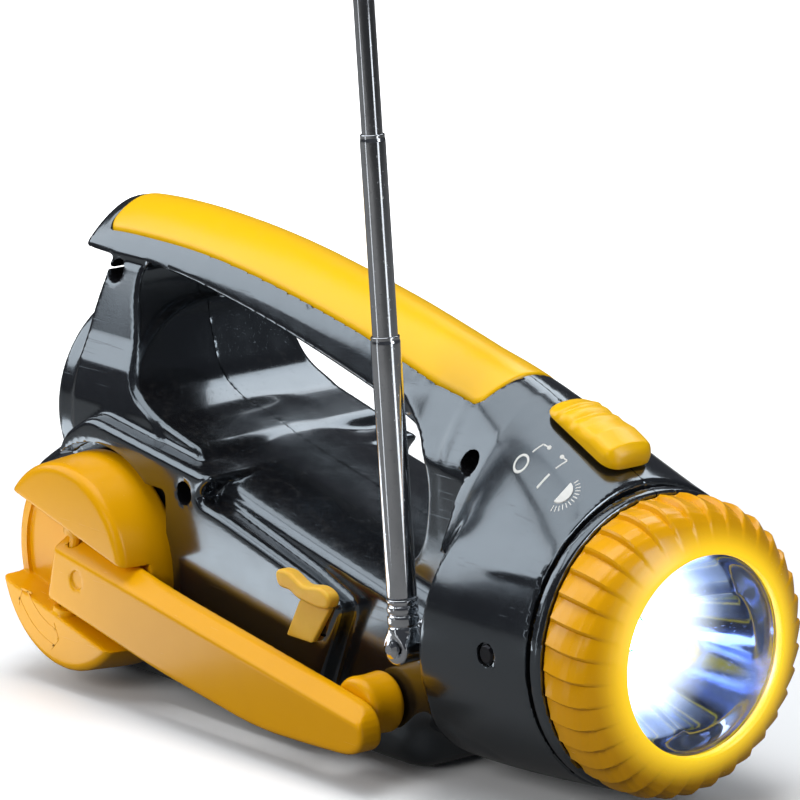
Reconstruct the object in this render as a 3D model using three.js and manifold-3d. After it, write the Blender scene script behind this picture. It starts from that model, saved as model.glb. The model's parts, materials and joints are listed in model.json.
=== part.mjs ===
// Hand-cranked portable radio and torch: two half shells around a lamp head, a gear-driven dynamo,
// a radio with a telescopic aerial, and a folding crank. Millimetres, +Z up, +X out of the lamp,
// -Y on the crank side. The origin is on the battery door, where the radio stands on a table.

import * as THREE from 'three';
import { mergeVertices } from 'three/addons/utils/BufferGeometryUtils.js';
import Module from 'manifold-3d';

const wasm = await Module();
wasm.setup();

// ---------- driving dimensions ----------
const GAP = 0.3; // clearance between touching pieces
const WALL = 3; // shell wall
const LAMP_Z = 41; // height of the lamp axis
const BODY_HALF = 30; // half width of the body
const PANEL_HALF = 36; // crank-side panel, from the middle plane
const CONTROL_HALF = 33; // control panel on the far side
const HANDLE_HALF = 17;
const INLAY_HALF = 13;
const INLAY = { back: -104, front: 46, depth: 3, proud: 0.7 };
const PILLAR_HALF = 22;
const WEB_HALF = 22;
const SADDLE_HALF = 22;

const BARREL = { back: -106, front: -74, z: 66, radius: 29.6 };
const HEAD = { lip: 95.1, radius: 39.6, bore: 34.6 };
const GROOVE = { x: 54.5, lean: THREE.MathUtils.degToRad(9) }; // slanting rear edge of the lamp head
const BEZEL = { back: 95.6, front: 113, rim: 36, opening: 24.4, sleeve: 34.2, seat: 27 };

const CRANK = { x: -79, z: 32, face: -49.3, back: -30.7, faceRadius: 26.6, rimRadius: 29.5 };
const ARM = { outer: -49, inner: -42, tilt: THREE.MathUtils.degToRad(14), slotHalf: 12.2 };
const ARM_PIVOT = { x: -79, y: -45.5, z: 31 };
const KNOB = { x: 31, z: 18, radius: 8, inner: -30.6, outer: -41.6 };

const GEAR = { module: 1, crankTeeth: 48, idlerTeeth: 12, near: -25, far: -21 };
const FINE_GEAR = { module: 0.8, idlerTeeth: 40, dynamoTeeth: 12, near: -19, far: -16 };
const IDLER_ANGLE = THREE.MathUtils.degToRad(-10); // direction from crank shaft to idler shaft

const AERIAL = { x: 47, y: -38, z: 36.5, lean: THREE.MathUtils.degToRad(4.8), travel: 48.5, base: 12.2 };
const AERIAL_RADII = [3.65, 3.1, 2.55, 2.0, 1.45];
const AERIAL_WALL = 0.45;
const BASE_SECTION = 63.5; // length of the lowest section
const UPPER_SECTION = 61.5; // length of each section above it

const SWITCH = { x: 74.5, z: 86.8, slope: THREE.MathUtils.degToRad(24.4) };
const BATTERY_DOOR = { x: 30, y: 19, thickness: 2.6 };
const HEAD_SCREW_X = 77.3;
const TUNING_X = -32;
const VOLUME_X = 0;
const DIAL_Z = 30; // height of both dials
const SHELL_SCREWS = [
  { x: -94.5, z: 102.5, surface: -HANDLE_HALF, seat: -11 },
  { x: -43.3, z: 56.4, surface: -PANEL_HALF, seat: -25 },
  { x: 51.4, z: 79.9, surface: -WEB_HALF, seat: -15 },
];

// ---------- finishes ----------
function finish(color, roughness, metalness) {
  return new THREE.MeshStandardMaterial({ color, roughness, metalness });
}
const BLACK = finish(0x0d0e10, 0.16, 0);
const AMBER = finish(0xf5ac12, 0.3, 0);
const YELLOW = finish(0xfcd20f, 0.3, 0);
const PALE_YELLOW = finish(0xdcbe6e, 0.5, 0);
const CHROME = finish(0xd8dade, 0.1, 1);
const STEEL = finish(0x9a9ca0, 0.35, 1);
const MIRROR = finish(0xc9d2f2, 0.08, 1);
const CLEAR = finish(0xe8f2ff, 0.04, 0);
const LIGHT = finish(0xffffff, 0.4, 0);
const BOARD = finish(0x1f6b3a, 0.5, 0);
const WHITE_NYLON = finish(0xe9e6dc, 0.5, 0);
const COPPER = finish(0xb4672e, 0.35, 1);
const DARK = finish(0x1b1c1f, 0.6, 0);
const FERRITE = finish(0x2c2a2b, 0.7, 0);
const CELL_WRAP = finish(0x2f8f4f, 0.4, 0);

// ---------- shape helpers ----------
const point = (x, y) => new THREE.Vector2(x, y);
const points = (...pairs) => pairs.map(([x, y]) => point(x, y));

function solidOf(geometry) {
  const bare = new THREE.BufferGeometry();
  bare.setAttribute('position', geometry.getAttribute('position'));
  bare.setIndex(geometry.getIndex());
  const merged = mergeVertices(bare, 1e-3);
  return new wasm.Manifold(new wasm.Mesh({
    numProp: 3,
    vertProperties: Float32Array.from(merged.getAttribute('position').array),
    triVerts: Uint32Array.from(merged.getIndex().array),
  }));
}

function geometryOf(solid) {
  const mesh = solid.getMesh();
  const geometry = new THREE.BufferGeometry();
  geometry.setAttribute('position', new THREE.BufferAttribute(mesh.vertProperties, 3));
  geometry.setIndex(new THREE.BufferAttribute(mesh.triVerts, 1));
  geometry.computeVertexNormals();
  return geometry;
}

const join = (...shapes) => geometryOf(shapes.map(solidOf).reduce((a, b) => a.add(b)));
const cut = (body, ...tools) => geometryOf(tools.map(solidOf).reduce((a, b) => a.subtract(b), solidOf(body)));
const common = (a, b) => geometryOf(solidOf(a).intersect(solidOf(b)));

// A shape drawn in the XZ plane, carried from yNear to yFar, with rounded or chamfered long edges.
// inset draws the outline in by that much all round.
function slab(shape, yNear, yFar, { round = 0, inset = 0, steps = 2, curve = 6 } = {}) {
  const edged = round > 0 || inset !== 0;
  const geometry = new THREE.ExtrudeGeometry(shape, {
    depth: yFar - yNear - 2 * round,
    curveSegments: curve,
    bevelEnabled: edged,
    bevelThickness: round,
    bevelSize: round,
    bevelOffset: -round - inset,
    bevelSegments: round > 0 ? steps : 1,
  });
  return geometry.rotateX(Math.PI / 2).translate(0, yFar - round, 0);
}

function block(x0, x1, y0, y1, z0, z1) {
  const box = new THREE.BoxGeometry(x1 - x0, y1 - y0, z1 - z0);
  return box.translate((x0 + x1) / 2, (y0 + y1) / 2, (z0 + z1) / 2);
}

// Solids of revolution. The profile pairs are (distance along the axis, radius), back to front.
const turned = (profile, segments) =>
  new THREE.LatheGeometry(profile.map(([along, radius]) => point(radius, along)), segments);
const turnedX = (profile, segments = 24) => turned(profile, segments).rotateZ(-Math.PI / 2);
const turnedY = (profile, segments = 16) => turned(profile, segments);
const turnedZ = (profile, segments = 12) => turned(profile, segments).rotateX(Math.PI / 2);

const rodProfile = (a, b, radius) => [[a, 0], [a, radius], [b, radius], [b, 0]];
const tubeProfile = (a, b, outer, inner) => [[a, inner], [a, outer], [b, outer], [b, inner], [a, inner]];
const rodX = (x0, x1, radius, segments) => turnedX(rodProfile(x0, x1, radius), segments);
const rodY = (y0, y1, radius, segments) => turnedY(rodProfile(y0, y1, radius), segments);
const rodZ = (z0, z1, radius, segments) => turnedZ(rodProfile(z0, z1, radius), segments);
const rodYAt = (x, z, y0, y1, radius, segments) => rodY(y0, y1, radius, segments).translate(x, 0, z);

function circlePath(x, y, radius) {
  const path = new THREE.Path();
  path.absarc(x, y, radius, 0, 2 * Math.PI, true);
  return path;
}

function roundedRectangle(x0, x1, y0, y1, radius) {
  const shape = new THREE.Shape();
  shape.moveTo(x0 + radius, y0);
  shape.lineTo(x1 - radius, y0);
  shape.absarc(x1 - radius, y0 + radius, radius, -Math.PI / 2, 0, false);
  shape.lineTo(x1, y1 - radius);
  shape.absarc(x1 - radius, y1 - radius, radius, 0, Math.PI / 2, false);
  shape.lineTo(x0 + radius, y1);
  shape.absarc(x0 + radius, y1 - radius, radius, Math.PI / 2, Math.PI, false);
  shape.lineTo(x0, y0 + radius);
  shape.absarc(x0 + radius, y0 + radius, radius, Math.PI, 1.5 * Math.PI, false);
  return shape;
}

// Straight-sided gear teeth, thinned to 40% of the pitch so that meshed wheels run with backlash.
function gearShape(teeth, module, phase, bore) {
  const pitchRadius = (teeth * module) / 2;
  const tip = { radius: pitchRadius + 0.8 * module, half: 0.34 * module };
  const root = { radius: pitchRadius - 1.15 * module, half: 1.04 * module };
  const corners = [];
  for (let tooth = 0; tooth < teeth; tooth += 1) {
    const centre = phase + (2 * Math.PI * tooth) / teeth;
    for (const [edge, side] of [[root, -1], [tip, -1], [tip, 1], [root, 1]]) {
      const angle = centre + (side * edge.half) / edge.radius;
      corners.push(point(edge.radius * Math.cos(angle), edge.radius * Math.sin(angle)));
    }
  }
  const shape = new THREE.Shape(corners);
  shape.holes.push(circlePath(0, 0, bore));
  return shape;
}

// ---------- assembly ----------
const radio = new THREE.Group();

function place(parent, name, geometry, material) {
  const mesh = new THREE.Mesh(geometry, material);
  mesh.name = name;
  parent.add(mesh);
  return mesh;
}
const add = (name, geometry, material) => place(radio, name, geometry, material);

// ---------- outlines in the XZ plane ----------
function bodyOutline() {
  const shape = new THREE.Shape();
  shape.moveTo(-96, 0);
  shape.lineTo(28, 0);
  shape.quadraticCurveTo(38, 0, 41, 9);
  shape.lineTo(52, 14);
  shape.lineTo(52, 46);
  shape.lineTo(28, 51);
  shape.lineTo(-60, 70.3);
  shape.lineTo(-98, 66);
  shape.quadraticCurveTo(-115, 58, -117, 42);
  shape.bezierCurveTo(-118, 20, -112, 0, -96, 0);
  return shape;
}

function pillarOutline() {
  const shape = new THREE.Shape();
  shape.moveTo(-94, 60);
  shape.lineTo(-50, 60);
  shape.lineTo(-57, 69);
  shape.quadraticCurveTo(-74, 72, -76, 84);
  shape.quadraticCurveTo(-78, 98, -66, 107);
  shape.lineTo(-101, 110);
  shape.lineTo(-96.5, 84);
  return shape;
}

const HANDLE_REAR = point(-109, 117.5);
const HANDLE_TOP = points([-100, 118.6], [-83, 118.8], [-45, 115.8], [0, 108.3], [48, 98.3]);
const HANDLE_UNDERSIDE = points([-20, 97], [-60, 104.3], [-99, 106.6], [-107, 106.8]);

function handleOutline() {
  const shape = new THREE.Shape();
  shape.moveTo(HANDLE_REAR.x, HANDLE_REAR.y);
  shape.splineThru(HANDLE_TOP);
  shape.lineTo(60, 93);
  shape.lineTo(60, 80);
  shape.lineTo(26, 85);
  shape.splineThru(HANDLE_UNDERSIDE);
  shape.lineTo(HANDLE_REAR.x, 108.5);
  return shape;
}

// A strip that follows the handle's top line, between two heights measured from it.
function handleStrip(low, high, start, end) {
  const top = new THREE.SplineCurve([HANDLE_REAR, ...HANDLE_TOP]);
  const along = top.getSpacedPoints(24).filter((p) => p.x > start && p.x < end);
  const upper = along.map((p) => point(p.x, p.y + high));
  const lower = along.map((p) => point(p.x, p.y + low)).reverse();
  return new THREE.Shape([...lower, ...upper]);
}

function webOutline() {
  const shape = new THREE.Shape();
  shape.moveTo(28, 40);
  shape.lineTo(28, 50);
  shape.quadraticCurveTo(35, 54, 35, 66);
  shape.quadraticCurveTo(34, 80, 22, 87);
  shape.lineTo(50, 92);
  shape.lineTo(68, 80);
  shape.lineTo(62, 10);
  shape.lineTo(46, 11);
  return shape;
}

const SADDLE_CORNERS = points([40, 70], [60, 50], [92, 50], [92, 78.9], [57, 94.7], [40, 99]);
const saddleOutline = () => new THREE.Shape(SADDLE_CORNERS);

function panelOutline() {
  const shape = new THREE.Shape();
  shape.moveTo(-82, 69.4);
  shape.lineTo(-100, 60);
  shape.lineTo(-101, 8);
  shape.lineTo(3, 8);
  shape.lineTo(19, 40);
  shape.lineTo(8, 46);
  shape.lineTo(-35.8, 53);
  shape.lineTo(-38, 56.5);
  shape.lineTo(-30.6, 62.7);
  shape.lineTo(-65.5, 69.4);
  return shape;
}

// ---------- shells ----------
// Everything in front of the slanting groove behind the lamp head, from that far along the lamp axis.
function aheadOfGroove(start) {
  return block(0, 120, -60, 60, -90, 90).rotateY(GROOVE.lean).translate(start, 0, 0);
}

function headBarrel(radius, front) {
  const profile = [[36, 0], [36, radius], [64, radius], [80, radius - 1], [front, radius - 2.8], [front, 0]];
  return common(turnedX(profile, 36), aheadOfGroove(GROOVE.x)).translate(0, 0, LAMP_Z);
}

function headBore() {
  const bore = rodX(36, HEAD.lip + 5, HEAD.bore, 36);
  return common(bore, aheadOfGroove(GROOVE.x + WALL)).translate(0, 0, LAMP_Z);
}

function speakerBarrel(back, front, radius) {
  return rodX(back, front, radius, 32).translate(0, 0, BARREL.z);
}

function screwBosses() {
  const inside = 1.5; // the bosses stop short of the shells' outside
  const bosses = SHELL_SCREWS.map(({ x, z, surface }) => {
    const reach = -surface - inside;
    return rodYAt(x, z, -reach, reach, 4, 16);
  });
  return join(...bosses);
}

function screwHoles() {
  const holes = SHELL_SCREWS.map((screw) => join(
    rodYAt(screw.x, screw.z, screw.surface - 2, screw.seat, 3, 16),
    rodYAt(screw.x, screw.z, screw.seat - 1, 13, 1.7, 12),
  ));
  return join(...holes);
}

function outerForm() {
  return join(
    slab(bodyOutline(), -BODY_HALF, BODY_HALF, { round: 5 }),
    slab(pillarOutline(), -PILLAR_HALF, PILLAR_HALF, { round: 2, steps: 1, curve: 4 }),
    slab(handleOutline(), -HANDLE_HALF, HANDLE_HALF, { round: 1.2, steps: 1, curve: 2 }),
    slab(webOutline(), -WEB_HALF, WEB_HALF, { round: 2, steps: 1, curve: 4 }),
    slab(saddleOutline(), -SADDLE_HALF, SADDLE_HALF, { round: 8 }),
    slab(panelOutline(), -PANEL_HALF, CONTROL_HALF, { round: 1, steps: 1 }),
    headBarrel(HEAD.radius, HEAD.lip),
    speakerBarrel(BARREL.back, BARREL.front, BARREL.radius),
  );
}

function innerSpace() {
  return join(
    slab(bodyOutline(), WALL - BODY_HALF, BODY_HALF - WALL, { round: 3, inset: WALL, steps: 1 }),
    slab(pillarOutline(), WALL - PILLAR_HALF, PILLAR_HALF - WALL, { inset: WALL, curve: 3 }),
    slab(webOutline(), WALL - WEB_HALF, WEB_HALF - WALL, { inset: WALL, curve: 3 }),
    slab(saddleOutline(), WALL - SADDLE_HALF, SADDLE_HALF - WALL, { round: 6, inset: WALL, steps: 1 }),
    headBore(),
    speakerBarrel(BARREL.back - 5, BARREL.front - 4, BARREL.radius - WALL),
  );
}

function shell() {
  const crankPocket = rodYAt(CRANK.x, CRANK.z, -PANEL_HALF - 1, -BODY_HALF, 31.5, 48);
  const crankHole = rodYAt(CRANK.x, CRANK.z, -BODY_HALF - 1, -20, 3.7, 20);
  const inlayRecess = slab(
    handleStrip(-INLAY.depth - GAP, 4, INLAY.back - GAP, INLAY.front + GAP),
    -INLAY_HALF - GAP,
    INLAY_HALF + GAP,
  );
  const wireChannel = slab(handleStrip(-8, -2, -100, 40), -8, 8);
  const doorX = BATTERY_DOOR.x + GAP;
  const doorY = BATTERY_DOOR.y + GAP;
  const doorOpening = block(-doorX, doorX, -doorY, doorY, -1, 8);
  const switchSlot = block(-8, 4.5, -2, 2, -9, 3).rotateY(SWITCH.slope).translate(SWITCH.x, 0, SWITCH.z);
  const aerialHole = rodYAt(AERIAL.x, AERIAL.z, -BODY_HALF - 1, -20, 2.3, 12);
  const socketHole = block(4, 14, -PANEL_HALF - 1, -20, 31, 38.5);
  const headScrewHole = join(
    rodYAt(HEAD_SCREW_X, LAMP_Z, -42, -37, 3, 16),
    rodYAt(HEAD_SCREW_X, LAMP_Z, -38, -20, 1.5, 12),
  );
  const tuningHole = rodYAt(TUNING_X, DIAL_Z, 20, 40, 3.3, 16);
  const volumeHole = rodYAt(VOLUME_X, DIAL_Z, 20, 40, 3.3, 16);
  const bandSlot = block(-66, -54, 20, 40, 28.5, 33.5);
  const hollow = cut(outerForm(), innerSpace());
  const bossed = join(hollow, screwBosses());
  return cut(
    bossed, crankPocket, crankHole, inlayRecess, wireChannel, doorOpening, switchSlot, aerialHole,
    socketHole, headScrewHole, tuningHole, volumeHole, bandSlot, screwHoles(),
  );
}

function addShells() {
  const whole = shell();
  const nearSpace = block(-200, 200, -100, -GAP / 2, -50, 200);
  const farSpace = block(-200, 200, GAP / 2, 100, -50, 200);
  add('right_housing', common(whole, nearSpace), BLACK);
  add('left_housing', common(whole, farSpace), BLACK);
  const strip = handleStrip(-INLAY.depth, INLAY.proud, INLAY.back, INLAY.front);
  add('handle_inlay', slab(strip, -INLAY_HALF, INLAY_HALF, { round: 1, steps: 1 }), YELLOW);
}

function addShellScrews() {
  SHELL_SCREWS.forEach((screw, index) => {
    const head = [[screw.seat - 2, 0], [screw.seat - 2, 2], [screw.seat - 1.4, 2.6], [screw.seat - GAP, 2.6]];
    const shank = [[screw.seat - GAP, 1.3], [12, 1.3], [12.6, 0]];
    add(`housing_screw_${index + 1}`, turnedY([...head, ...shank], 10).translate(screw.x, 0, screw.z), STEEL);
  });
}

// ---------- lamp ----------
function addLamp() {
  const bezelProfile = [
    [87, BEZEL.sleeve - 3.2], [87, BEZEL.sleeve], [BEZEL.back, BEZEL.sleeve], [BEZEL.back, BEZEL.rim - 0.6],
    [BEZEL.back + 0.8, BEZEL.rim], [104.5, BEZEL.rim], [108.3, 33.9], [111, 29.8], [BEZEL.front, 25.6],
    [BEZEL.front, 24.9], [111.8, BEZEL.opening], [111, BEZEL.opening], [110.6, BEZEL.seat],
    [96, BEZEL.seat + 1], [94, 31], [87, BEZEL.sleeve - 3.2],
  ];
  const onAxis = (geometry) => geometry.translate(0, 0, LAMP_Z);
  add('bezel', onAxis(turnedX(bezelProfile, 32)), AMBER);
  add('lens', onAxis(rodX(108.6, 110.2, 26.3, 28)), CLEAR);
  const reflectorOutside = [
    [84, 6.2], [84, 9.4], [88, 16.4], [94, 21.4], [101, 24.6], [106.4, 25.4], [106.4, 26.3],
  ];
  const reflectorInside = [
    [108.2, 26.3], [108.2, 24.4], [101, 22.8], [94, 19.8], [88, 14.8], [85, 9], [84, 6.2],
  ];
  add('reflector', onAxis(turnedX([...reflectorOutside, ...reflectorInside], 24)), MIRROR);
  const emitter = [[81.8, 0], [81.8, 4.8], [84.4, 4.8], [87, 4.2], [89, 2.6], [89.8, 0]];
  add('led', onAxis(turnedX(emitter, 12)), LIGHT);
  add('led_board', onAxis(rodX(80, 81.5, 14, 20)), BOARD);
  const cup = [[75, 0], [75, 34], [79.6, 34], [79.6, 15], [76.6, 15], [76.6, 0]];
  const holder = cut(turnedX(cup, 28), rodYAt(HEAD_SCREW_X, 0, -40, -24, 1.5, 12));
  add('lamp_holder', onAxis(holder), WHITE_NYLON);
  const screw = [[-38.2, 0], [-38.2, 2], [-37.8, 2.5], [-37.3, 2.5], [-37.3, 1.2], [-27, 1.2], [-26.4, 0]];
  add('head_screw', onAxis(turnedY(screw, 10).translate(HEAD_SCREW_X, 0, 0)), STEEL);
}

// ---------- slide switch ----------
function addSwitch() {
  const group = new THREE.Group();
  group.position.set(SWITCH.x, 0, SWITCH.z);
  group.rotation.y = SWITCH.slope;
  radio.add(group);
  const side = new THREE.Shape();
  side.moveTo(-13, -3);
  side.lineTo(13, -3);
  side.quadraticCurveTo(14.4, 5, 8, 5.8);
  side.quadraticCurveTo(0, 5.8, -6, 4);
  side.quadraticCurveTo(-13, 3.6, -13, -3);
  const cap = slab(side, -7, 7, { round: 1.4, curve: 4 });
  const above = block(-20, 20, -10, 10, GAP, 12);
  place(group, 'switch_button', join(common(cap, above), block(-3, 3, -1.5, 1.5, -6.4, 1)), YELLOW);
  const contacts = block(-12, 3, -4, 4, -10.5, -6.9);
  place(group, 'switch_body', contacts, STEEL);
}

// ---------- crank ----------
function armOutline() {
  const shape = new THREE.Shape();
  shape.moveTo(-82.5, 22.4);
  shape.lineTo(-40, 13.8);
  shape.lineTo(2, 8);
  shape.lineTo(24, 8.6);
  shape.quadraticCurveTo(42, 9.4, 43, 15.5);
  shape.quadraticCurveTo(42, 20.6, 32, 22.4);
  shape.lineTo(-40, 33.4);
  shape.lineTo(-78, 41.2);
  return shape;
}

function addCrank() {
  const hubProfile = [
    [CRANK.face, 0], [CRANK.face, CRANK.faceRadius - 2], [CRANK.face + 0.8, CRANK.faceRadius],
    [CRANK.face + 3.4, CRANK.faceRadius + 1.4], [CRANK.back, CRANK.rimRadius], [CRANK.back, 0],
  ];
  const disc = turnedY(hubProfile, 40).translate(CRANK.x, 0, CRANK.z);
  const slot = block(-40, 40, -60, -39.5, -ARM.slotHalf, ARM.slotHalf);
  const turnedSlot = slot.rotateY(ARM.tilt).translate(ARM_PIVOT.x, 0, ARM_PIVOT.z);
  const onPivot = (rod) => rod.rotateY(ARM.tilt).translate(ARM_PIVOT.x, ARM_PIVOT.y, ARM_PIVOT.z);
  const pinHole = onPivot(rodZ(-17, 17, 1.8, 12));
  const shaftBore = rodYAt(CRANK.x, CRANK.z, -37.6, -20, 3.3, 20);
  add('crank_hub', cut(disc, turnedSlot, pinHole, shaftBore), AMBER);
  const plate = slab(armOutline(), ARM.outer, ARM.inner, { round: 1.2, steps: 1 });
  const axleHole = rodYAt(KNOB.x, KNOB.z, -47, -40, 1.8, 16);
  add('crank_arm', cut(plate, pinHole, axleHole), AMBER);
  add('arm_hinge_pin', onPivot(rodZ(-16.4, 16.4, 1.5, 12)), STEEL);
  const knob = [
    [KNOB.outer, 1.8], [KNOB.outer, 6.4], [KNOB.outer + 1.4, 7.6], [-36, KNOB.radius],
    [KNOB.inner - 1.4, 7.6], [KNOB.inner, 6.2], [KNOB.inner, 3], [-32.4, 3], [-32.4, 1.8], [KNOB.outer, 1.8],
  ];
  add('crank_knob', turnedY(knob, 18).translate(KNOB.x, 0, KNOB.z), AMBER);
  const axle = [[-46.7, 0], [-46.7, 1.5], [-32.1, 1.5], [-32.1, 2.6], [-31, 2.6], [-31, 0]];
  add('knob_axle', turnedY(axle, 12).translate(KNOB.x, 0, KNOB.z), STEEL);
}

// ---------- dynamo drive ----------
const polar = (origin, radius, angle) => ({
  x: origin.x + radius * Math.cos(angle),
  z: origin.z + radius * Math.sin(angle),
});
const IDLER = polar(CRANK, (GEAR.module * (GEAR.crankTeeth + GEAR.idlerTeeth)) / 2, IDLER_ANGLE);
const DYNAMO = polar(IDLER, (FINE_GEAR.module * (FINE_GEAR.idlerTeeth + FINE_GEAR.dynamoTeeth)) / 2, 0);

function addGearTrain() {
  const halfTooth = (teeth) => Math.PI / teeth;
  const crankGear = slab(gearShape(GEAR.crankTeeth, GEAR.module, IDLER_ANGLE, 3.3), GEAR.near, GEAR.far);
  add('crank_gear', crankGear.translate(CRANK.x, 0, CRANK.z), WHITE_NYLON);
  add('crank_shaft', rodYAt(CRANK.x, CRANK.z, -37.2, -12.2, 3, 20), STEEL);
  const idlerPhase = IDLER_ANGLE + Math.PI + halfTooth(GEAR.idlerTeeth);
  const pinionShape = gearShape(GEAR.idlerTeeth, GEAR.module, idlerPhase, 1.8);
  const pinion = slab(pinionShape, GEAR.near, FINE_GEAR.near + 0.5);
  const wheelShape = gearShape(FINE_GEAR.idlerTeeth, FINE_GEAR.module, 0, 1.8);
  const wheel = slab(wheelShape, FINE_GEAR.near, FINE_GEAR.far);
  add('idler_gear', join(pinion, wheel).translate(IDLER.x, 0, IDLER.z), WHITE_NYLON);
  add('idler_shaft', rodYAt(IDLER.x, IDLER.z, -26.6, -12.2, 1.5, 16), STEEL);
  const dynamoPhase = Math.PI + halfTooth(FINE_GEAR.dynamoTeeth);
  const dynamoShape = gearShape(FINE_GEAR.dynamoTeeth, FINE_GEAR.module, dynamoPhase, 1.4);
  const dynamoPinion = slab(dynamoShape, -19.4, -15.6);
  add('dynamo_pinion', dynamoPinion.translate(DYNAMO.x, 0, DYNAMO.z), STEEL);
  add('dynamo_shaft', rodYAt(DYNAMO.x, DYNAMO.z, -20, -11.4, 1.1, 12), STEEL);
  const plateShape = roundedRectangle(-94, -14, 16, 48, 5);
  plateShape.holes.push(circlePath(CRANK.x, CRANK.z, 3.4));
  plateShape.holes.push(circlePath(IDLER.x, IDLER.z, 1.9));
  plateShape.holes.push(circlePath(DYNAMO.x, DYNAMO.z, 3.4));
  add('gearbox_plate', slab(plateShape, -14.4, -12.4), STEEL);
  const canProfile = [
    [-12, 1.5], [-12, 11], [-11, 12], [9, 12], [10, 11], [10, 0], [-9, 0], [-9, 1.5], [-12, 1.5],
  ];
  add('dynamo_body', turnedY(canProfile, 18).translate(DYNAMO.x, 0, DYNAMO.z), STEEL);
}

// ---------- aerial ----------
function addAerial() {
  const foot = [
    [-33.4, 1.8], [-33.4, 5.2], [-32.6, 5.8], [-BODY_HALF - GAP, 5.8], [-BODY_HALF - GAP, 2],
    [-24, 2], [-24, 0], [-31, 0], [-31, 1.8], [-33.4, 1.8],
  ];
  add('aerial_foot', turnedY(foot, 16).translate(AERIAL.x, 0, AERIAL.z), CHROME);
  const rivet = [[-43.2, 0], [-43.2, 1.2], [-42.5, 2.4], [-42, 2.4], [-42, 1.4], [-31.4, 1.4], [-31.4, 0]];
  add('aerial_rivet', turnedY(rivet, 12).translate(AERIAL.x, 0, AERIAL.z), CHROME);

  const group = new THREE.Group();
  group.position.set(AERIAL.x, AERIAL.y, AERIAL.z);
  group.rotation.y = -AERIAL.lean;
  radio.add(group);
  const eye = rodY(-3.6, 4.2, 4.3, 16);
  const neck = [
    [0, 0], [0, 3.6], [4, 3.6], [4.4, 3.9], [7.4, 3.9],
    [7.8, 3.5], [8.4, 3.5], [8.8, 3.9], [11.9, 3.9], [11.9, 0],
  ];
  place(group, 'aerial_knuckle', cut(join(eye, turnedZ(neck)), rodY(-8, 8, 1.7, 12)), CHROME);
  const baseTop = AERIAL.base + BASE_SECTION;
  const outer = AERIAL_RADII[0];
  const inner = outer - AERIAL_WALL;
  const floor = AERIAL.base + 1.2;
  const cup = [
    [AERIAL.base, 0], [AERIAL.base, outer], [baseTop, outer],
    [baseTop, inner], [floor, inner], [floor, 0],
  ];
  place(group, 'aerial_section_1', turnedZ(cup), CHROME);
  for (let index = 1; index < AERIAL_RADII.length; index += 1) {
    const top = baseTop + AERIAL.travel * index;
    const radius = AERIAL_RADII[index];
    const hollow = index < AERIAL_RADII.length - 1;
    const tube = tubeProfile(top - UPPER_SECTION, top, radius, radius - AERIAL_WALL);
    const rod = rodProfile(top - UPPER_SECTION, top, radius);
    place(group, `aerial_section_${index + 1}`, turnedZ(hollow ? tube : rod), CHROME);
  }
  const tipBase = baseTop + AERIAL.travel * (AERIAL_RADII.length - 1) + GAP;
  const tip = [[0, 0], [0, 2.6], [0.6, 3.4], [4.6, 3.4], [6, 2.4], [6.6, 0]];
  place(group, 'aerial_tip', turnedZ(tip.map(([along, radius]) => [tipBase + along, radius])), CHROME);
}

// ---------- charging socket ----------
function addSocket() {
  const flap = new THREE.Shape(points([0.4, 29.3], [10.6, 29.3], [17.8, 39.6], [6, 39.6]));
  const tab = roundedRectangle(-1, 19.6, 40.2, 45, 2.2);
  const cover = join(
    slab(flap, -38, -PANEL_HALF - GAP),
    slab(tab, -40.4, -PANEL_HALF - GAP, { round: 0.8, steps: 1 }),
    block(6, 16, -38, -PANEL_HALF - GAP, 39, 42),
  );
  add('socket_cover', cover, PALE_YELLOW);
  const jack = cut(block(4.6, 13.4, -35.6, -24, 31.6, 37.9), rodYAt(9, 34.8, -40, -27, 2.7, 16));
  add('dc_socket', jack, DARK);
}

// ---------- power, radio board and controls ----------
function addPower() {
  const { x, y, thickness } = BATTERY_DOOR;
  const screwX = 25;
  const screwHole = rodZ(-1, 4, 1.6, 12).translate(screwX, 0, 0);
  const headRecess = rodZ(-1, 1.4, 3, 16).translate(screwX, 0, 0);
  add('battery_door', cut(block(-x, x, -y, y, 0, thickness), screwHole, headRecess), BLACK);
  const screw = turnedZ([[0.2, 0], [0.2, 2.6], [1.1, 2.6], [1.1, 1.3], [6, 1.3], [6, 0]], 10);
  add('battery_door_screw', screw.translate(screwX, 0, 0), STEEL);
  for (let cell = 0; cell < 3; cell += 1) {
    const can = [[-24, 0], [-24, 5.2], [20, 5.2], [20, 1.8], [21, 1.8], [21, 0]];
    add(`battery_cell_${cell + 1}`, turnedX(can, 14).translate(-2, (cell - 1) * 11, 9), CELL_WRAP);
  }
}

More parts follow.
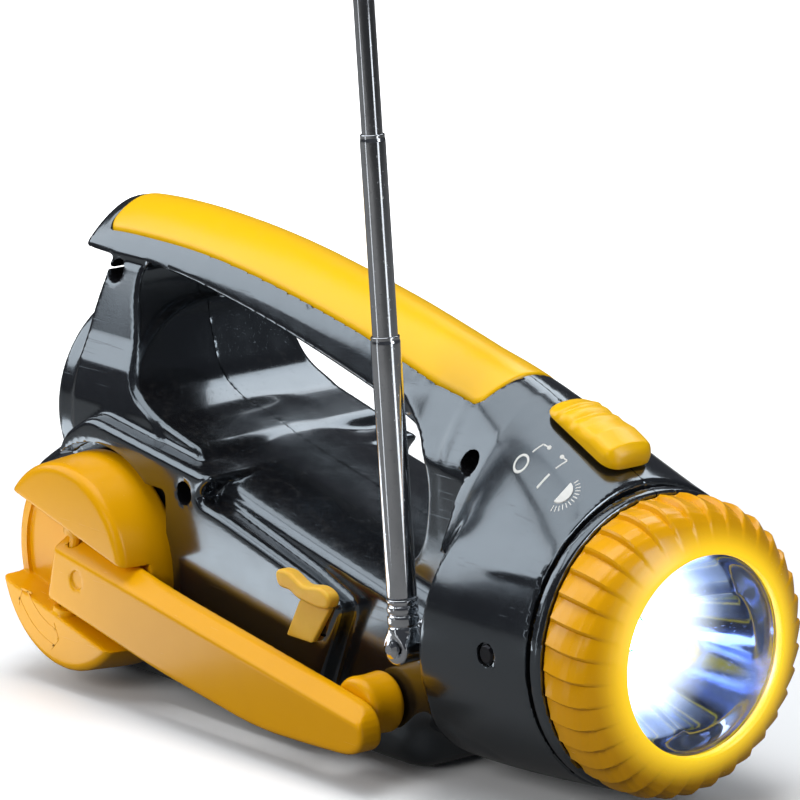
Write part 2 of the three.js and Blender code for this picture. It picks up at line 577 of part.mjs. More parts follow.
function addRadio() {
  const boardShape = roundedRectangle(-70, 22, 18, 46, 2);
  add('circuit_board', slab(boardShape, 18, 19.6), BOARD);
  const spindle = (x) => rodYAt(x, DIAL_Z, 24, 36, 2.4, 16);
  add('tuning_capacitor', join(block(-42, -22, 20, 25, 20, 40), spindle(TUNING_X)), WHITE_NYLON);
  add('volume_control', join(block(-7, 7, 20, 25, 23, 37), spindle(VOLUME_X)), STEEL);
  const dial = (outer) => [
    [CONTROL_HALF + GAP, 2.8], [CONTROL_HALF + GAP, outer], [38.4, outer - 0.6], [39.4, outer - 1.6],
    [39.4, 0], [37, 0], [37, 2.8], [CONTROL_HALF + GAP, 2.8],
  ];
  add('tuning_knob', turnedY(dial(14), 20).translate(TUNING_X, 0, DIAL_Z), BLACK);
  add('volume_knob', turnedY(dial(9.5), 16).translate(VOLUME_X, 0, DIAL_Z), BLACK);
  add('band_switch_body', block(-68, -52, 20, 26, 26, 36), STEEL);
  const thumbPiece = block(-59, -55, CONTROL_HALF + GAP, 36.4, 28, 34);
  const stem = block(-58, -56, 26.4, 34, 29, 33);
  add('band_switch_knob', join(thumbPiece, stem), YELLOW);
  add('ferrite_rod', rodX(-68, 2, 4.2, 16).translate(0, 6, 45), FERRITE);
  add('aerial_coil', turnedX(tubeProfile(-64, -46, 5.8, 4.6), 20).translate(0, 6, 45), COPPER);
}

// ---------- loudspeaker ----------
function addSpeaker() {
  const onAxis = (geometry) => geometry.translate(0, 0, BARREL.z);
  const grilleShape = new THREE.Shape();
  grilleShape.absarc(0, 0, BARREL.radius - WALL - 0.4, 0, 2 * Math.PI, false);
  grilleShape.holes.push(circlePath(0, 0, 2));
  for (let ring = 1; ring <= 2; ring += 1) {
    for (let hole = 0; hole < 6 * ring; hole += 1) {
      const angle = (Math.PI * hole) / (3 * ring);
      grilleShape.holes.push(circlePath(8.5 * ring * Math.cos(angle), 8.5 * ring * Math.sin(angle), 2));
    }
  }
  const grille = new THREE.ExtrudeGeometry(grilleShape, { depth: 2, bevelEnabled: false, curveSegments: 3 });
  add('speaker_grille', onAxis(grille.rotateY(-Math.PI / 2).translate(-103.6, 0, 0)), BLACK);
  const basket = [
    [-103, 25.6], [-101, 25.8], [-99, 16], [-94, 12], [-94, 0],
    [-96, 0], [-96, 8], [-101.5, 22], [-103, 22.4], [-103, 25.6],
  ];
  add('speaker_cone', onAxis(turnedX(basket, 20)), DARK);
  add('speaker_magnet', onAxis(rodX(-93.6, -86, 11, 20)), STEEL);
}

addShells();
addShellScrews();
addLamp();
addSwitch();
addCrank();
addGearTrain();
addAerial();
addSocket();
addPower();
addRadio();
addSpeaker();

export default radio;
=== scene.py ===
"""A hand-cranked portable radio and torch, dressed round its working frame.

Lengths inside the shape functions are in millimetres, in the frame's own axes:
+X out of the lamp, +Z up, -Y on the crank side. mesh_object() turns them into metres."""
import json

import bmesh
import bpy
import numpy as np
from mathutils import Matrix, Vector


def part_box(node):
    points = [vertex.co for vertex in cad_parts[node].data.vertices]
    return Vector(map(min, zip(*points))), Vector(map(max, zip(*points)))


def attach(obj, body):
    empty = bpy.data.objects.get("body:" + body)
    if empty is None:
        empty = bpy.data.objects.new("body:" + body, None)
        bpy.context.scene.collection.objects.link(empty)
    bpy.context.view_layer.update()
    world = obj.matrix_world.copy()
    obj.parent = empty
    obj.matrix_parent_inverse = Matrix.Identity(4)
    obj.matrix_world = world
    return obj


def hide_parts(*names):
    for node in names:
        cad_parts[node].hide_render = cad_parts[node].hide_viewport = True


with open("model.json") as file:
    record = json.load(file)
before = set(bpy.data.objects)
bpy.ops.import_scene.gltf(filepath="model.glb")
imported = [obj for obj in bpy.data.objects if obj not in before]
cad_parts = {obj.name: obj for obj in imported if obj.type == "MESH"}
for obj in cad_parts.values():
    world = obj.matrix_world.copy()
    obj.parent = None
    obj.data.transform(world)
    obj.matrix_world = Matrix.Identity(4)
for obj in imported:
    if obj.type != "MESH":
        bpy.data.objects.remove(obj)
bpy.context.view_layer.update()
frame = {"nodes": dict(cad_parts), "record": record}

MM = 0.001
NEARLY_HALF = 0.49

# ---------- places and sizes, in millimetres ----------
LAMP_Z = 41.0
BODY_HALF = 30.0
PANEL_HALF = 36.0
CONTROL_HALF = 33.0
HEAD_FRONT = 95.1
GROOVE_X, GROOVE_LEAN = 54.0, 0.145
HANDLE_HALF = 17.0
INLAY_HALF = 13.0
BARREL = dict(back=-106.0, z=66.0, radius=29.5)
CRANK = dict(x=-79.0, z=32.0, face=-49.2, back=-30.7, face_radius=26.9)
ARM_PIVOT = (-79.0, -45.5, 31.0)
ARM_TILT = np.radians(14.0)
ARM_Y = (-49.0, -42.0)
SLOT_HALF = 12.2
KNOB = (31.0, 18.0)
AERIAL = (47.0, -38.0, 36.5)
AERIAL_LEAN = np.radians(4.8)
AERIAL_RADII = (3.65, 3.1, 2.55, 2.0, 1.45)
AERIAL_BASE, BASE_SECTION, UPPER_SECTION, AERIAL_STEP = 12.2, 63.5, 61.5, 48.5
TUBE_WALL = 0.45
SWITCH = (74.5, 86.8)
SWITCH_SLOPE = np.radians(24.4)
SHELL_SCREWS = ((-94.5, 102.5, -17.0, -11.0), (-43.3, 56.4, -36.0, -25.0), (51.4, 79.9, -22.0, -15.0))
HEAD_SCREW_X = 77.3
DOOR_HALF = (30.0, 19.0)
TUNING, VOLUME, DIAL_BORE = (-32.0, 30.0), (0.0, 30.0), 3.3
SHELL_STEP = 0.85

HANDLE_TOP = np.array([
    (-124, 116.2), (-111, 117.7), (-100, 118.7), (-83, 119.0), (-66, 118.2), (-45, 116.2),
    (-17, 111.8), (6, 107.4), (29, 102.4), (48, 97.8), (60, 93.2), (70, 88.7)])
HANDLE_UNDER = np.array([
    (-124, 107.0), (-112, 106.4), (-104, 106.0), (-97, 105.8), (-84, 105.8), (-69, 105.0), (-52, 102.7),
    (-36, 99.9), (-20, 96.6), (-4, 92.8), (12, 88.6), (30, 83.0), (50, 76.0)])
HANDLE_CROWN = np.array([
    (-124, 0.040), (-111, 0.040), (-85, 0.039), (-60, 0.036), (0, 0.037), (30, 0.045), (48, 0.040),
    (70, 0.036)])
BODY_TOP = np.array([
    (-122, 50.0), (-116, 54.5), (-106, 61.0), (-96, 66.0), (-80, 70.0), (-60, 70.2), (-40, 65.3),
    (-9, 58.6), (28, 51.0), (60, 44.0)])


# ---------- distances: negative inside, positive outside ----------
def smooth_line(points, x):
    """Height of a smooth curve through the points: cubic Hermite pieces with averaged slopes."""
    px, pz = points[:, 0], points[:, 1]
    slope = np.gradient(pz, px)
    i = np.clip(np.searchsorted(px, x) - 1, 0, len(px) - 2)
    h = px[i + 1] - px[i]
    t = np.clip((x - px[i]) / h, 0, 1)
    return ((2 * t**3 - 3 * t**2 + 1) * pz[i] + (t**3 - 2 * t**2 + t) * h * slope[i]
            + (3 * t**2 - 2 * t**3) * pz[i + 1] + (t**3 - t**2) * h * slope[i + 1])


def rounded_outline(corners, steps=7):
    """Closed outline from (x, z, radius) corners, each corner cut by a parabola that long on both sides."""
    c = np.array(corners, float)
    p, r = c[:, :2], c[:, 2:]
    back, ahead = np.roll(p, 1, axis=0) - p, np.roll(p, -1, axis=0) - p
    lb, la = np.linalg.norm(back, axis=1, keepdims=True), np.linalg.norm(ahead, axis=1, keepdims=True)
    start = p + back / lb * np.minimum(r, lb * NEARLY_HALF)
    end = p + ahead / la * np.minimum(r, la * NEARLY_HALF)
    t = np.linspace(0, 1, steps)[None, :, None]
    arc = (1 - t) ** 2 * start[:, None] + 2 * t * (1 - t) * p[:, None] + t**2 * end[:, None]
    return arc.reshape(-1, 2)


def handle_height(x, y):
    """Height of the handle's crowned top: its middle line less a parabola across."""
    return smooth_line(HANDLE_TOP, x) - np.interp(x, HANDLE_CROWN[:, 0], HANDLE_CROWN[:, 1]) * y * y


def outline_distance(x, z, outline):
    """Least distance to the outline's edges, negative inside, where a ray crosses an odd number of them."""
    nearest = np.full(np.broadcast_shapes(np.shape(x), np.shape(z)), 1e12)
    inside = np.zeros(nearest.shape, bool)
    for (ax, az), (bx, bz) in zip(outline, np.roll(outline, -1, axis=0)):
        ex, ez = bx - ax, bz - az
        size = ex * ex + ez * ez
        if size < 1e-12:
            continue
        t = np.clip(((x - ax) * ex + (z - az) * ez) / size, 0, 1)
        nearest = np.minimum(nearest, (x - ax - t * ex) ** 2 + (z - az - t * ez) ** 2)
        if ez != 0:
            inside ^= ((az > z) != (bz > z)) & (x < ax + ex * (z - az) / ez)
    return np.where(inside, -1.0, 1.0) * np.sqrt(nearest)


def both(a, b, radius=0.6):
    """Inside both, with the edge between them rounded to that radius."""
    a, b = a + radius, b + radius
    return np.minimum(np.maximum(a, b), 0) + np.hypot(np.maximum(a, 0), np.maximum(b, 0)) - radius


def either(a, b, fillet=0.6):
    """Inside either, with a fillet of about that size where they meet."""
    h = np.maximum(fillet - np.abs(a - b), 0) / fillet
    return np.minimum(a, b) - h * h * fillet / 4


def without(a, b, radius=0.4):
    """Inside a and outside b, with the rim rounded."""
    return both(a, -b, radius)


def rod_y(x, y, z, cx, cz, radius, y0, y1, edge=0.3):
    """Round rod along Y."""
    return both(np.hypot(x - cx, z - cz) - radius, np.abs(y - (y0 + y1) / 2) - (y1 - y0) / 2, edge)


def brick(x, y, z, low, high, edge=0.5):
    """Box between two corners with rounded edges."""
    parts = [np.abs(v - (a + b) / 2) - (b - a) / 2 for v, a, b in zip((x, y, z), low, high)]
    return both(both(parts[0], parts[1], edge), parts[2], edge)


# ---------- meshes ----------
SLOPE_REACH = 0.03
PULL_TO_MIDDLE = 0.06


def mesh_object(name, vertices, faces, sharp=None):
    """A Blender object from millimetre vertices and faces that all have the same number of corners."""
    mesh = bpy.data.meshes.new(name)
    faces = np.asarray(faces, np.int32)
    corners = faces.shape[1]
    mesh.vertices.add(len(vertices))
    mesh.vertices.foreach_set("co", (np.asarray(vertices, float) * MM).astype(np.float32).ravel())
    mesh.loops.add(faces.size)
    mesh.loops.foreach_set("vertex_index", faces.ravel())
    mesh.polygons.add(len(faces))
    mesh.polygons.foreach_set("loop_start", np.arange(0, faces.size, corners, dtype=np.int32))
    mesh.polygons.foreach_set("use_smooth", np.full(len(faces), True))
    mesh.update(calc_edges=True)
    mesh.validate()
    if sharp is not None:
        mesh.set_sharp_from_angle(angle=np.radians(sharp))
    piece = bpy.data.objects.new(name, mesh)
    bpy.context.collection.objects.link(piece)
    return piece


def field_slope(field, points):
    """Slope of the field by central differences."""
    e = SLOPE_REACH
    x, y, z = points.T
    return np.stack([field(x + e, y, z) - field(x - e, y, z), field(x, y + e, z) - field(x, y - e, z),
                     field(x, y, z + e) - field(x, y, z - e)], axis=1) / (2 * e)


def solid(name, field, low, high, step, sharp=40):
    """The surface where the field is nought. A grid edge that crosses it gives a point and the slope
    there; each cell's vertex is the least-squares meeting point of its edges' tangent planes, so corners
    stay crisp, moved once along the slope onto the surface. Each crossed edge gives one quad of the four
    cells round it, facing out."""
    axes = [np.arange(a - 1.5 * step, b + 2.5 * step, step) for a, b in zip(low, high)]
    shape = tuple(len(a) for a in axes)
    cells = tuple(n - 1 for n in shape)
    values = field(*np.meshgrid(*axes, indexing="ij", sparse=True))
    values = np.broadcast_to(values, shape).astype(np.float32)
    origin = np.array([a[0] for a in axes])
    owners, points, slopes, quads = [], [], [], []
    for axis in range(3):
        a, b = (np.take(values, range(k, shape[axis] - 1 + k), axis=axis) for k in (0, 1))
        at = np.argwhere((a < 0) != (b < 0))
        start, end = a[tuple(at.T)], b[tuple(at.T)]
        where = at.astype(float)
        where[:, axis] += start / (start - end)
        where = origin + where * step
        slope = field_slope(field, where)
        slope /= np.maximum(np.linalg.norm(slope, axis=1, keepdims=True), 1e-9)
        ring = []
        for s1, s2 in ((-1, -1), (0, -1), (0, 0), (-1, 0)):
            cell = at.copy()
            cell[:, (axis + 1) % 3] += s1
            cell[:, (axis + 2) % 3] += s2
            ring.append(np.ravel_multi_index(tuple(cell.T), cells))
        ring = np.stack(ring, axis=1)
        owners.append(ring.T.ravel())
        points.append(np.tile(where, (4, 1)))
        slopes.append(np.tile(slope, (4, 1)))
        quads.append(np.where((start < 0)[:, None], ring, ring[:, ::-1]))
    owners, points, slopes, quads = (np.concatenate(rows) for rows in (owners, points, slopes, quads))
    used, owner = np.unique(owners, return_inverse=True)
    count = np.bincount(owner)[:, None]
    middle = np.stack([np.bincount(owner, points[:, k]) for k in range(3)], axis=1) / count
    offset = ((points - middle[owner]) * slopes).sum(axis=1)
    pairs = [slopes[:, i] * slopes[:, j] for i in range(3) for j in range(3)]
    square = np.stack([np.bincount(owner, pair) for pair in pairs], axis=1).reshape(-1, 3, 3)
    square = square + np.eye(3) * PULL_TO_MIDDLE
    target = np.stack([np.bincount(owner, slopes[:, k] * offset) for k in range(3)], axis=1)
    shift = np.linalg.solve(square, target[..., None])[..., 0]
    vertices = middle + np.clip(shift, -0.75 * step, 0.75 * step)
    slope = field_slope(field, vertices)
    distance = np.clip(field(*vertices.T), -0.5 * step, 0.5 * step)[:, None]
    vertices = vertices - distance * slope / np.maximum((slope**2).sum(axis=1, keepdims=True), 0.3)
    number = np.zeros(int(np.prod(cells)), np.int64)
    number[used] = np.arange(len(used))
    return mesh_object(name, vertices, number[quads], sharp=sharp)


def revolved(name, profile, place, around=96, radius_factor=None, closed=False, sharp=35, twist=0.0):
    """Surface of revolution: ring j holds the profile's (along, radius) turned through the angles.
    place turns (along, radius*cos, radius*sin) arrays into x, y, z. Open profiles start and end on the
    axis. radius_factor(along, radius, angle) may scale the radius; twist turns the rings on by that
    angle for each mm."""
    profile = np.asarray(profile, float)
    angle = np.arange(around) * 2 * np.pi / around
    along, radius = profile[:, :1] + 0 * angle, profile[:, 1:] + 0 * angle
    if radius_factor is not None:
        radius = radius * radius_factor(along, radius, angle[None, :])
    turned = angle - twist * (along - along.min())
    x, y, z = place(along, radius * np.cos(turned), radius * np.sin(turned))
    vertices = np.stack([x, y, z], axis=-1).reshape(-1, 3)
    rings = len(profile)
    here = np.arange(rings if closed else rings - 1)[:, None] * around
    ahead = (here + around) % (rings * around)
    j = np.arange(around)[None, :]
    j2 = (j + 1) % around
    faces = np.stack([here + j, ahead + j, ahead + j2, here + j2], axis=-1).reshape(-1, 4)
    piece = mesh_object(name, vertices, faces)
    tidy_mesh(piece, sharp)
    return piece


def tidy_mesh(piece, sharp=35):
    """Merges doubled points, drops empty faces, turns the faces out and marks the sharp edges."""
    work = bmesh.new()
    work.from_mesh(piece.data)
    bmesh.ops.remove_doubles(work, verts=work.verts, dist=1e-6)
    bmesh.ops.dissolve_degenerate(work, edges=work.edges, dist=1e-7)
    bmesh.ops.recalc_face_normals(work, faces=work.faces)
    work.to_mesh(piece.data)
    work.free()
    piece.data.set_sharp_from_angle(angle=np.radians(sharp))


def rounded_profile(corners, steps=5):
    """Open profile from (along, radius, corner size) points, each inner corner cut by a parabola."""
    c = np.array(corners, float)
    rows = [c[:1, :2]]
    t = np.linspace(0, 1, steps)[:, None]
    for before, here, after in zip(c[:-2], c[1:-1], c[2:]):
        a, p, b, r = before[:2], here[:2], after[:2], here[2]
        la, lb = np.linalg.norm(a - p), np.linalg.norm(b - p)
        if r == 0:
            rows.append(p[None])
            continue
        s = p + (a - p) / la * min(r, la * NEARLY_HALF)
        e = p + (b - p) / lb * min(r, lb * NEARLY_HALF)
        rows.append((1 - t) ** 2 * s + 2 * t * (1 - t) * p + t**2 * e)
    rows.append(c[-1:, :2])
    return np.concatenate(rows)


def along_x(a, c, s):
    """Along the lamp's axis."""
    return a, c, LAMP_Z + s


def along_y(x0, z0):
    return lambda a, c, s: (x0 + s, a, z0 + c)


def along_aerial(a, c, s):
    """Along the aerial's own axis, which leans back from the pivot."""
    sin, cos = np.sin(AERIAL_LEAN), np.cos(AERIAL_LEAN)
    return AERIAL[0] + c * cos - a * sin, AERIAL[1] + s, AERIAL[2] + c * sin + a * cos


# ---------- housing ----------
BODY_OUTLINE = rounded_outline([
    (-116.9, 0, 24), (39, 0, 7), (43, 11, 3), (58, 14, 1), (58, 90, 1), (-70, 90, 1), (-116.9, 90, 1)])
PANEL_OUTLINE = rounded_outline([
    (-101, 6, 14), (4, 6, 4), (19.5, 40, 3), (6, 44.5, 3), (-29, 53.6, 4), (-39.5, 55.5, 5),
    (-33, 62.0, 3), (-84, 68.9, 4), (-99, 60, 12)])
BARREL_OUTLINE = rounded_outline([
    (BARREL["back"], 30, 1), (BARREL["back"], 100, 1), (-80, 100, 1), (-78.6, 88, 4), (-75, 76.5, 5),
    (-66, 71.5, 8), (-44, 66, 4), (-40, 30, 1)])
PILLAR_OUTLINE = rounded_outline([
    (-98, 56, 1), (-55, 56, 1), (-62, 69.5, 6), (-75, 75.5, 5), (-78.6, 88, 6), (-84.5, 99, 5),
    (-84, 108, 1), (-97.5, 108, 1), (-99.5, 92, 6)])
WEB_OUTLINE = rounded_outline([
    (28, 20, 1), (40, 12, 3), (62, 12, 1), (66, 88, 4), (48, 95, 4), (20, 92, 4), (33, 82, 8),
    (37, 70, 8), (35, 56, 6), (28, 50, 3)])
MOUTH_RADIUS, THROAT_RADIUS = 34.6, 26.6
SADDLE_START, SADDLE_LIP = 56.0, 90.8


def head_radius(x):
    """Radius of the lamp head along the lamp axis: a slow taper to the front."""
    t = np.clip((x - 50) / (HEAD_FRONT - 50), 0, 1)
    return 39.6 - 2.9 * t**1.7


def saddle_top(x):
    """Height of the top panel's middle line, which runs on from the handle's."""
    rear = smooth_line(HANDLE_TOP, x) + np.interp(x, (44, SADDLE_START), (-0.5, 0.25))
    return np.where(x < SADDLE_START, rear, 94.7 - np.tan(SWITCH_SLOPE) * (x - 57.0))


def saddle_surface(x, y):
    """Height of the top panel: its middle line less a parabola that falls to the side creases."""
    edge = 81.0 - (x - SADDLE_START) * 0.345
    edge_half = 20.5 + (x - SADDLE_START) * 0.12
    crown = (saddle_top(x) - edge) / edge_half**2 * 0.98
    rear_crown = np.interp(x, (44, SADDLE_START), (0.041, 0.0330))
    return saddle_top(x) - np.where(x < SADDLE_START, rear_crown, crown) * y * y


def saddle_side(x, y, z):
    """Slanted side of the top panel: the plane from its crease that just touches the round head."""
    turn = np.radians(56.5 - 0.186 * np.clip(x - SADDLE_START, -20, 40))
    return np.sin(turn) * np.abs(y) + np.cos(turn) * (z - LAMP_Z) - head_radius(x)


def handle_form(x, y, z):
    """The handle: a crowned top, a flat underside and sides that lean in."""
    top = (z - handle_height(x, y)) * 0.95
    below = smooth_line(HANDLE_UNDER, x) - z
    side = (np.abs(y) - 0.30 * below - HANDLE_HALF - 0.3) * 0.92
    side = side - np.clip((x - 10.0) / 50.0, 0, 1) * 3.0
    length = both(-108.6 - 0.006 * y * y - x, x - 62.0, 1.0)
    return both(both(both(top, side, 1.5), below * 0.97, 1.7), length, 1.2)


def body_form(x, y, z):
    """The body between two flat sides, its raised side panels, the rear barrel and the pillar over it."""
    wide = np.abs(y)
    side_half = BODY_HALF - 0.004 * np.maximum(z - 40, 0) ** 2
    rim = np.interp(z, (12.0, 40.0), (9.0, 2.2))
    form = both(outline_distance(x, z, BODY_OUTLINE), wide - side_half, rim)
    form = both(form, (z - smooth_line(BODY_TOP, x) + 0.0068 * y * y) * 0.97, 2.0)
    panel_half = np.where(y < 0, PANEL_HALF, CONTROL_HALF)
    form = either(form, both(outline_distance(x, z, PANEL_OUTLINE), wide - panel_half, 2.0), 1.6)
    round_side = np.hypot(y, z - BARREL["z"]) - BARREL["radius"]
    form = either(form, both(outline_distance(x, z, BARREL_OUTLINE), round_side, 1.2), 1.6)
    pillar_half = np.interp(z, (60.0, 70.0, 80.0, 87.0, 104.0, 108.0), (30.4, 29.9, 27.4, 24.0, 17.6, 13.5))
    pillar = both(outline_distance(x, z, PILLAR_OUTLINE), (wide - pillar_half) * 0.95, 0.9)
    return either(form, pillar, 1.5)


def web_form(x, y, z):
    """The flat-sided web that joins the body to the front of the handle."""
    flank = both(np.abs(y) - (23.0 - 0.03 * np.maximum(z - 60, 0)), saddle_side(x, y, z), 2.0)
    web = both(outline_distance(x, z, WEB_OUTLINE), flank, 2.0)
    return both(web, z - handle_height(x, y) + 1.0, 1.0)


def saddle_form(x, y, z):
    """The raised panel on top of the lamp head, with slanted sides, that narrows onto the web."""
    saddle = both((z - saddle_surface(x, y)) * 0.9, saddle_side(x, y, z), 0.9)
    narrow = np.abs(y) - 22.3 - 60.0 * np.clip((x - 52.0) / 3.0, 0, 1)
    saddle = both(both(saddle, x - SADDLE_LIP, 0.9), both(narrow, 40.0 - x, 3.0), 1.5)
    return both(saddle, (60.0 - z) * 0.8, 1.0)


def housing_form(x, y, z):
    """The outside of both half shells together."""
    form = either(body_form(x, y, z), web_form(x, y, z), 3.0)
    form = either(form, handle_form(x, y, z), 2.6)
    radial = np.hypot(y, z - LAMP_Z)
    groove = GROOVE_X + GROOVE_LEAN * (z - LAMP_Z) - x
    head = both(both(radial - head_radius(x), groove, 0.9), x - HEAD_FRONT, 0.7)
    form = either(form, head, 6.0)
    form = either(form, saddle_form(x, y, z), 1.2)
    ring = both(both(34.9 - radial, radial - 38.6, 0.1), np.abs(x - 91.3) - 0.7, 0.2)
    return without(form, ring, 0.3)


def inlay_distance(x, y, grow):
    """Plan distance to the handle inlay's outline: straight sides, blunt back, bowed front."""
    bow = 3.2 * (1 - (np.clip(np.abs(y), 0, INLAY_HALF) / INLAY_HALF) ** 2)
    return both(both(np.abs(y) - INLAY_HALF, x - (45.2 + bow), 2.0), -104.4 - x, 3.0) - grow


def shared_openings(form, x, y, z):
    """Cuts what both half shells have: inlay recess, switch slot, door, lamp mouth, speaker throat."""
    recess = both(inlay_distance(x, y, 0.35), handle_height(x, y) - 2.2 - z, 0.2)
    form = without(form, recess, 0.35)
    form = without(form, brick(*switch_axes(x, y, z), (-9.5, -3.2, -9), (9, 3.2, 3), 0.4), 0.3)
    door_x, door_y = DOOR_HALF[0] + 0.3, DOOR_HALF[1] + 0.3
    form = without(form, brick(x, y, z, (-door_x, -door_y, -2), (door_x, door_y, 3.1)), 0.3)
    mouth = both(np.hypot(y, z - LAMP_Z) - MOUTH_RADIUS, 70.0 - x, 0.3)
    throat = both(np.hypot(y, z - BARREL["z"]) - THROAT_RADIUS, x + 84.0, 0.3)
    return without(without(form, mouth, 0.4), throat, 0.4)


def right_field(x, y, z):
    """The crank side's half shell: drum pocket, screw holes and socket opening, up to the parting plane."""
    form = shared_openings(housing_form(x, y, z), x, y, z)
    pocket = rod_y(x, y, z, CRANK["x"], CRANK["z"], 30.4, -40.0, -30.2)
    corner = brick(x, y, z, (-74, -40, 27), (-51.3, -30.2, 55.6), 2.0)
    form = without(form, np.minimum(pocket, corner), 0.5)
    for sx, sz, surface, seat in SHELL_SCREWS:
        form = without(form, rod_y(x, y, z, sx, sz, 3.0, surface - 4.0, seat), 0.35)
    form = without(form, rod_y(x, y, z, HEAD_SCREW_X, LAMP_Z, 2.9, -44.0, -37.2), 0.35)
    form = without(form, brick(x, y, z, (4.4, -40, 31.2), (13.6, -24, 38.3)), 0.3)
    return both(form, y + 0.05, 0.12)


def left_field(x, y, z):
    """The control side's half shell: two dial bores and the band switch's slot."""
    form = shared_openings(housing_form(x, y, z), x, y, z)
    for kx, kz in (TUNING, VOLUME):
        form = without(form, rod_y(x, y, z, kx, kz, DIAL_BORE, 22.0, 40.0), 0.3)
    form = without(form, brick(x, y, z, (-66, 22, 28.5), (-54, 40, 33.5)), 0.3)
    return both(form, 0.05 - y, 0.12)


def switch_axes(x, y, z):
    """Coordinates along, across and above the sloping switch track."""
    cos, sin = np.cos(SWITCH_SLOPE), np.sin(SWITCH_SLOPE)
    dx, dz = x - SWITCH[0], z - SWITCH[1]
    return dx * cos - dz * sin, y, dx * sin + dz * cos


def inlay_field(x, y, z):
    """A crowned strip that stands a little proud of the handle."""
    top = (z - handle_height(x, y) - 0.45) * 0.95
    under = (handle_height(x, y) - 1.9 - z) * 0.95
    return both(both(inlay_distance(x, y, 0.0), top, 0.7), under, 0.3)


# ---------- crank ----------
def arm_axes(x, z):
    """Coordinates along and across the arm's root direction, from the pivot."""
    dx, dz = x - ARM_PIVOT[0], z - ARM_PIVOT[2]
    return dx * np.cos(ARM_TILT) - dz * np.sin(ARM_TILT), dx * np.sin(ARM_TILT) + dz * np.cos(ARM_TILT)


def hub_field(x, y, z):
    """A drum with a stepped rim and a rounded face, cut across by the arm's slot."""
    r = np.hypot(x - CRANK["x"], z - CRANK["z"])
    half_deep = (CRANK["back"] - CRANK["face"]) / 2
    outer = np.interp(y, (CRANK["face"], -37.0, CRANK["back"]), (CRANK["face_radius"], 27.9, 28.2))
    drum = both(r - outer, np.abs(y - CRANK["face"] - half_deep) - half_deep, 2.2)
    along, across = arm_axes(x, z)
    deep = both(np.abs(across) - SLOT_HALF, y + 40.6, 0.4)
    deep = both(deep, np.where(along < 0, r - 24.8, -3.0), 0.4)
    shallow = both(np.abs(across) - SLOT_HALF, y + 41.75, 0.3)
    drum = without(drum, np.minimum(deep, shallow), 0.4)
    boss = both(np.hypot(along, y - ARM_PIVOT[1]) - 3.4, np.abs(np.abs(across) - 11.6) - 1.2, 0.3)
    drum = either(drum, boss, 0.4)
    drum = without(drum, rod_y(x, y, z, CRANK["x"], CRANK["z"], 3.3, -37.4, -20.0), 0.3)
    bore = both(np.hypot(along, y - ARM_PIVOT[1]) - 1.8, np.abs(across) - 17.0, 0.2)
    return without(drum, bore, 0.2)


ARM_OUTLINE = rounded_outline([
    (-85.4, 22.8, 1.5), (-40, 13.6, 10), (2, 7.6, 10), (24, 8.2, 8), (43.5, 9.2, 9), (42.5, 20.5, 8),
    (30, 22.8, 8), (-40, 33.6, 10), (-80.6, 42.2, 1.5)])


def arm_field(x, y, z):
    """A flat bar with rounded edges and a wide bevel along its upper edge."""
    flat = outline_distance(x, z, ARM_OUTLINE)
    bar = both(flat, np.abs(y - sum(ARM_Y) / 2) - (ARM_Y[1] - ARM_Y[0]) / 2, 1.0)
    upper = (z - 33.6) + (x + 40.0) * 0.156
    bar = both(bar, upper * 0.80 - (y - ARM_Y[0]) * 0.60 + 2.6, 0.6)
    along, _ = arm_axes(x, z)
    bar = without(bar, np.hypot(along, y - ARM_PIVOT[1]) - 1.8, 0.15)
    bar = without(bar, rod_y(x, y, z, KNOB[0], KNOB[1], 1.8, -47.0, -40.0), 0.15)
    dimple = rod_y(x, y, z, -72.5, 30.0, 2.4, -50.0, -48.3)
    return without(bar, dimple, 0.5)


# ---------- socket cover ----------
FLAP_OUTLINE = rounded_outline([(0.4, 29.3, 0.8), (10.6, 29.3, 0.8), (17.8, 39.6, 0.8), (6, 39.6, 0.8)])
TAB_OUTLINE = rounded_outline([
    (-1.4, 46.2, 2.4), (-0.2, 41.8, 2.2), (4.4, 41.9, 1.2), (7.5, 40.4, 1.0), (15.5, 39.6, 1.0),
    (20.0, 40.2, 2.0), (20.4, 43.6, 2.4), (16.4, 45.2, 2.0), (9.6, 44.0, 2.0), (3.6, 46.8, 2.2)])
SWITCH_PLAN = rounded_outline([(-14, -7.4, 5.0), (13, -7.4, 5.0), (13, 7.4, 5.0), (-14, 7.4, 5.0)])


def cover_field(x, y, z):
    """A flat slanted flap below a waisted finger tab."""
    flap = both(outline_distance(x, z, FLAP_OUTLINE), np.abs(y + 37.15) - 0.85, 0.35)
    tab = both(outline_distance(x, z, TAB_OUTLINE), np.abs(y + 38.3) - 2.0, 1.0)
    return either(flap, tab, 0.8)


def switch_field(x, y, z):
    """A rounded thumb piece: low and ribbed at the back, tall and smooth at the front."""
    s, t, h = switch_axes(x, y, z)
    crown = np.interp(s, (-14, -9, -3, 4, 10, 13.5), (2.2, 3.9, 4.5, 6.0, 5.8, 3.4)) - 0.028 * t * t
    rear = np.clip((1.0 - s) / 3, 0, 1) * np.clip((s + 11) / 2, 0, 1)
    ribs = 0.42 * np.abs(np.sin(s * np.pi / 4.0)) * rear
    cap = both(both(outline_distance(s, t, SWITCH_PLAN), h - crown - ribs, 1.8), 0.45 - h, 0.3)
    stem = brick(s, t, h, (-3, -1.5, -6.4), (3, 1.5, 2), 0.2)
    return either(cap, stem, 0.2)


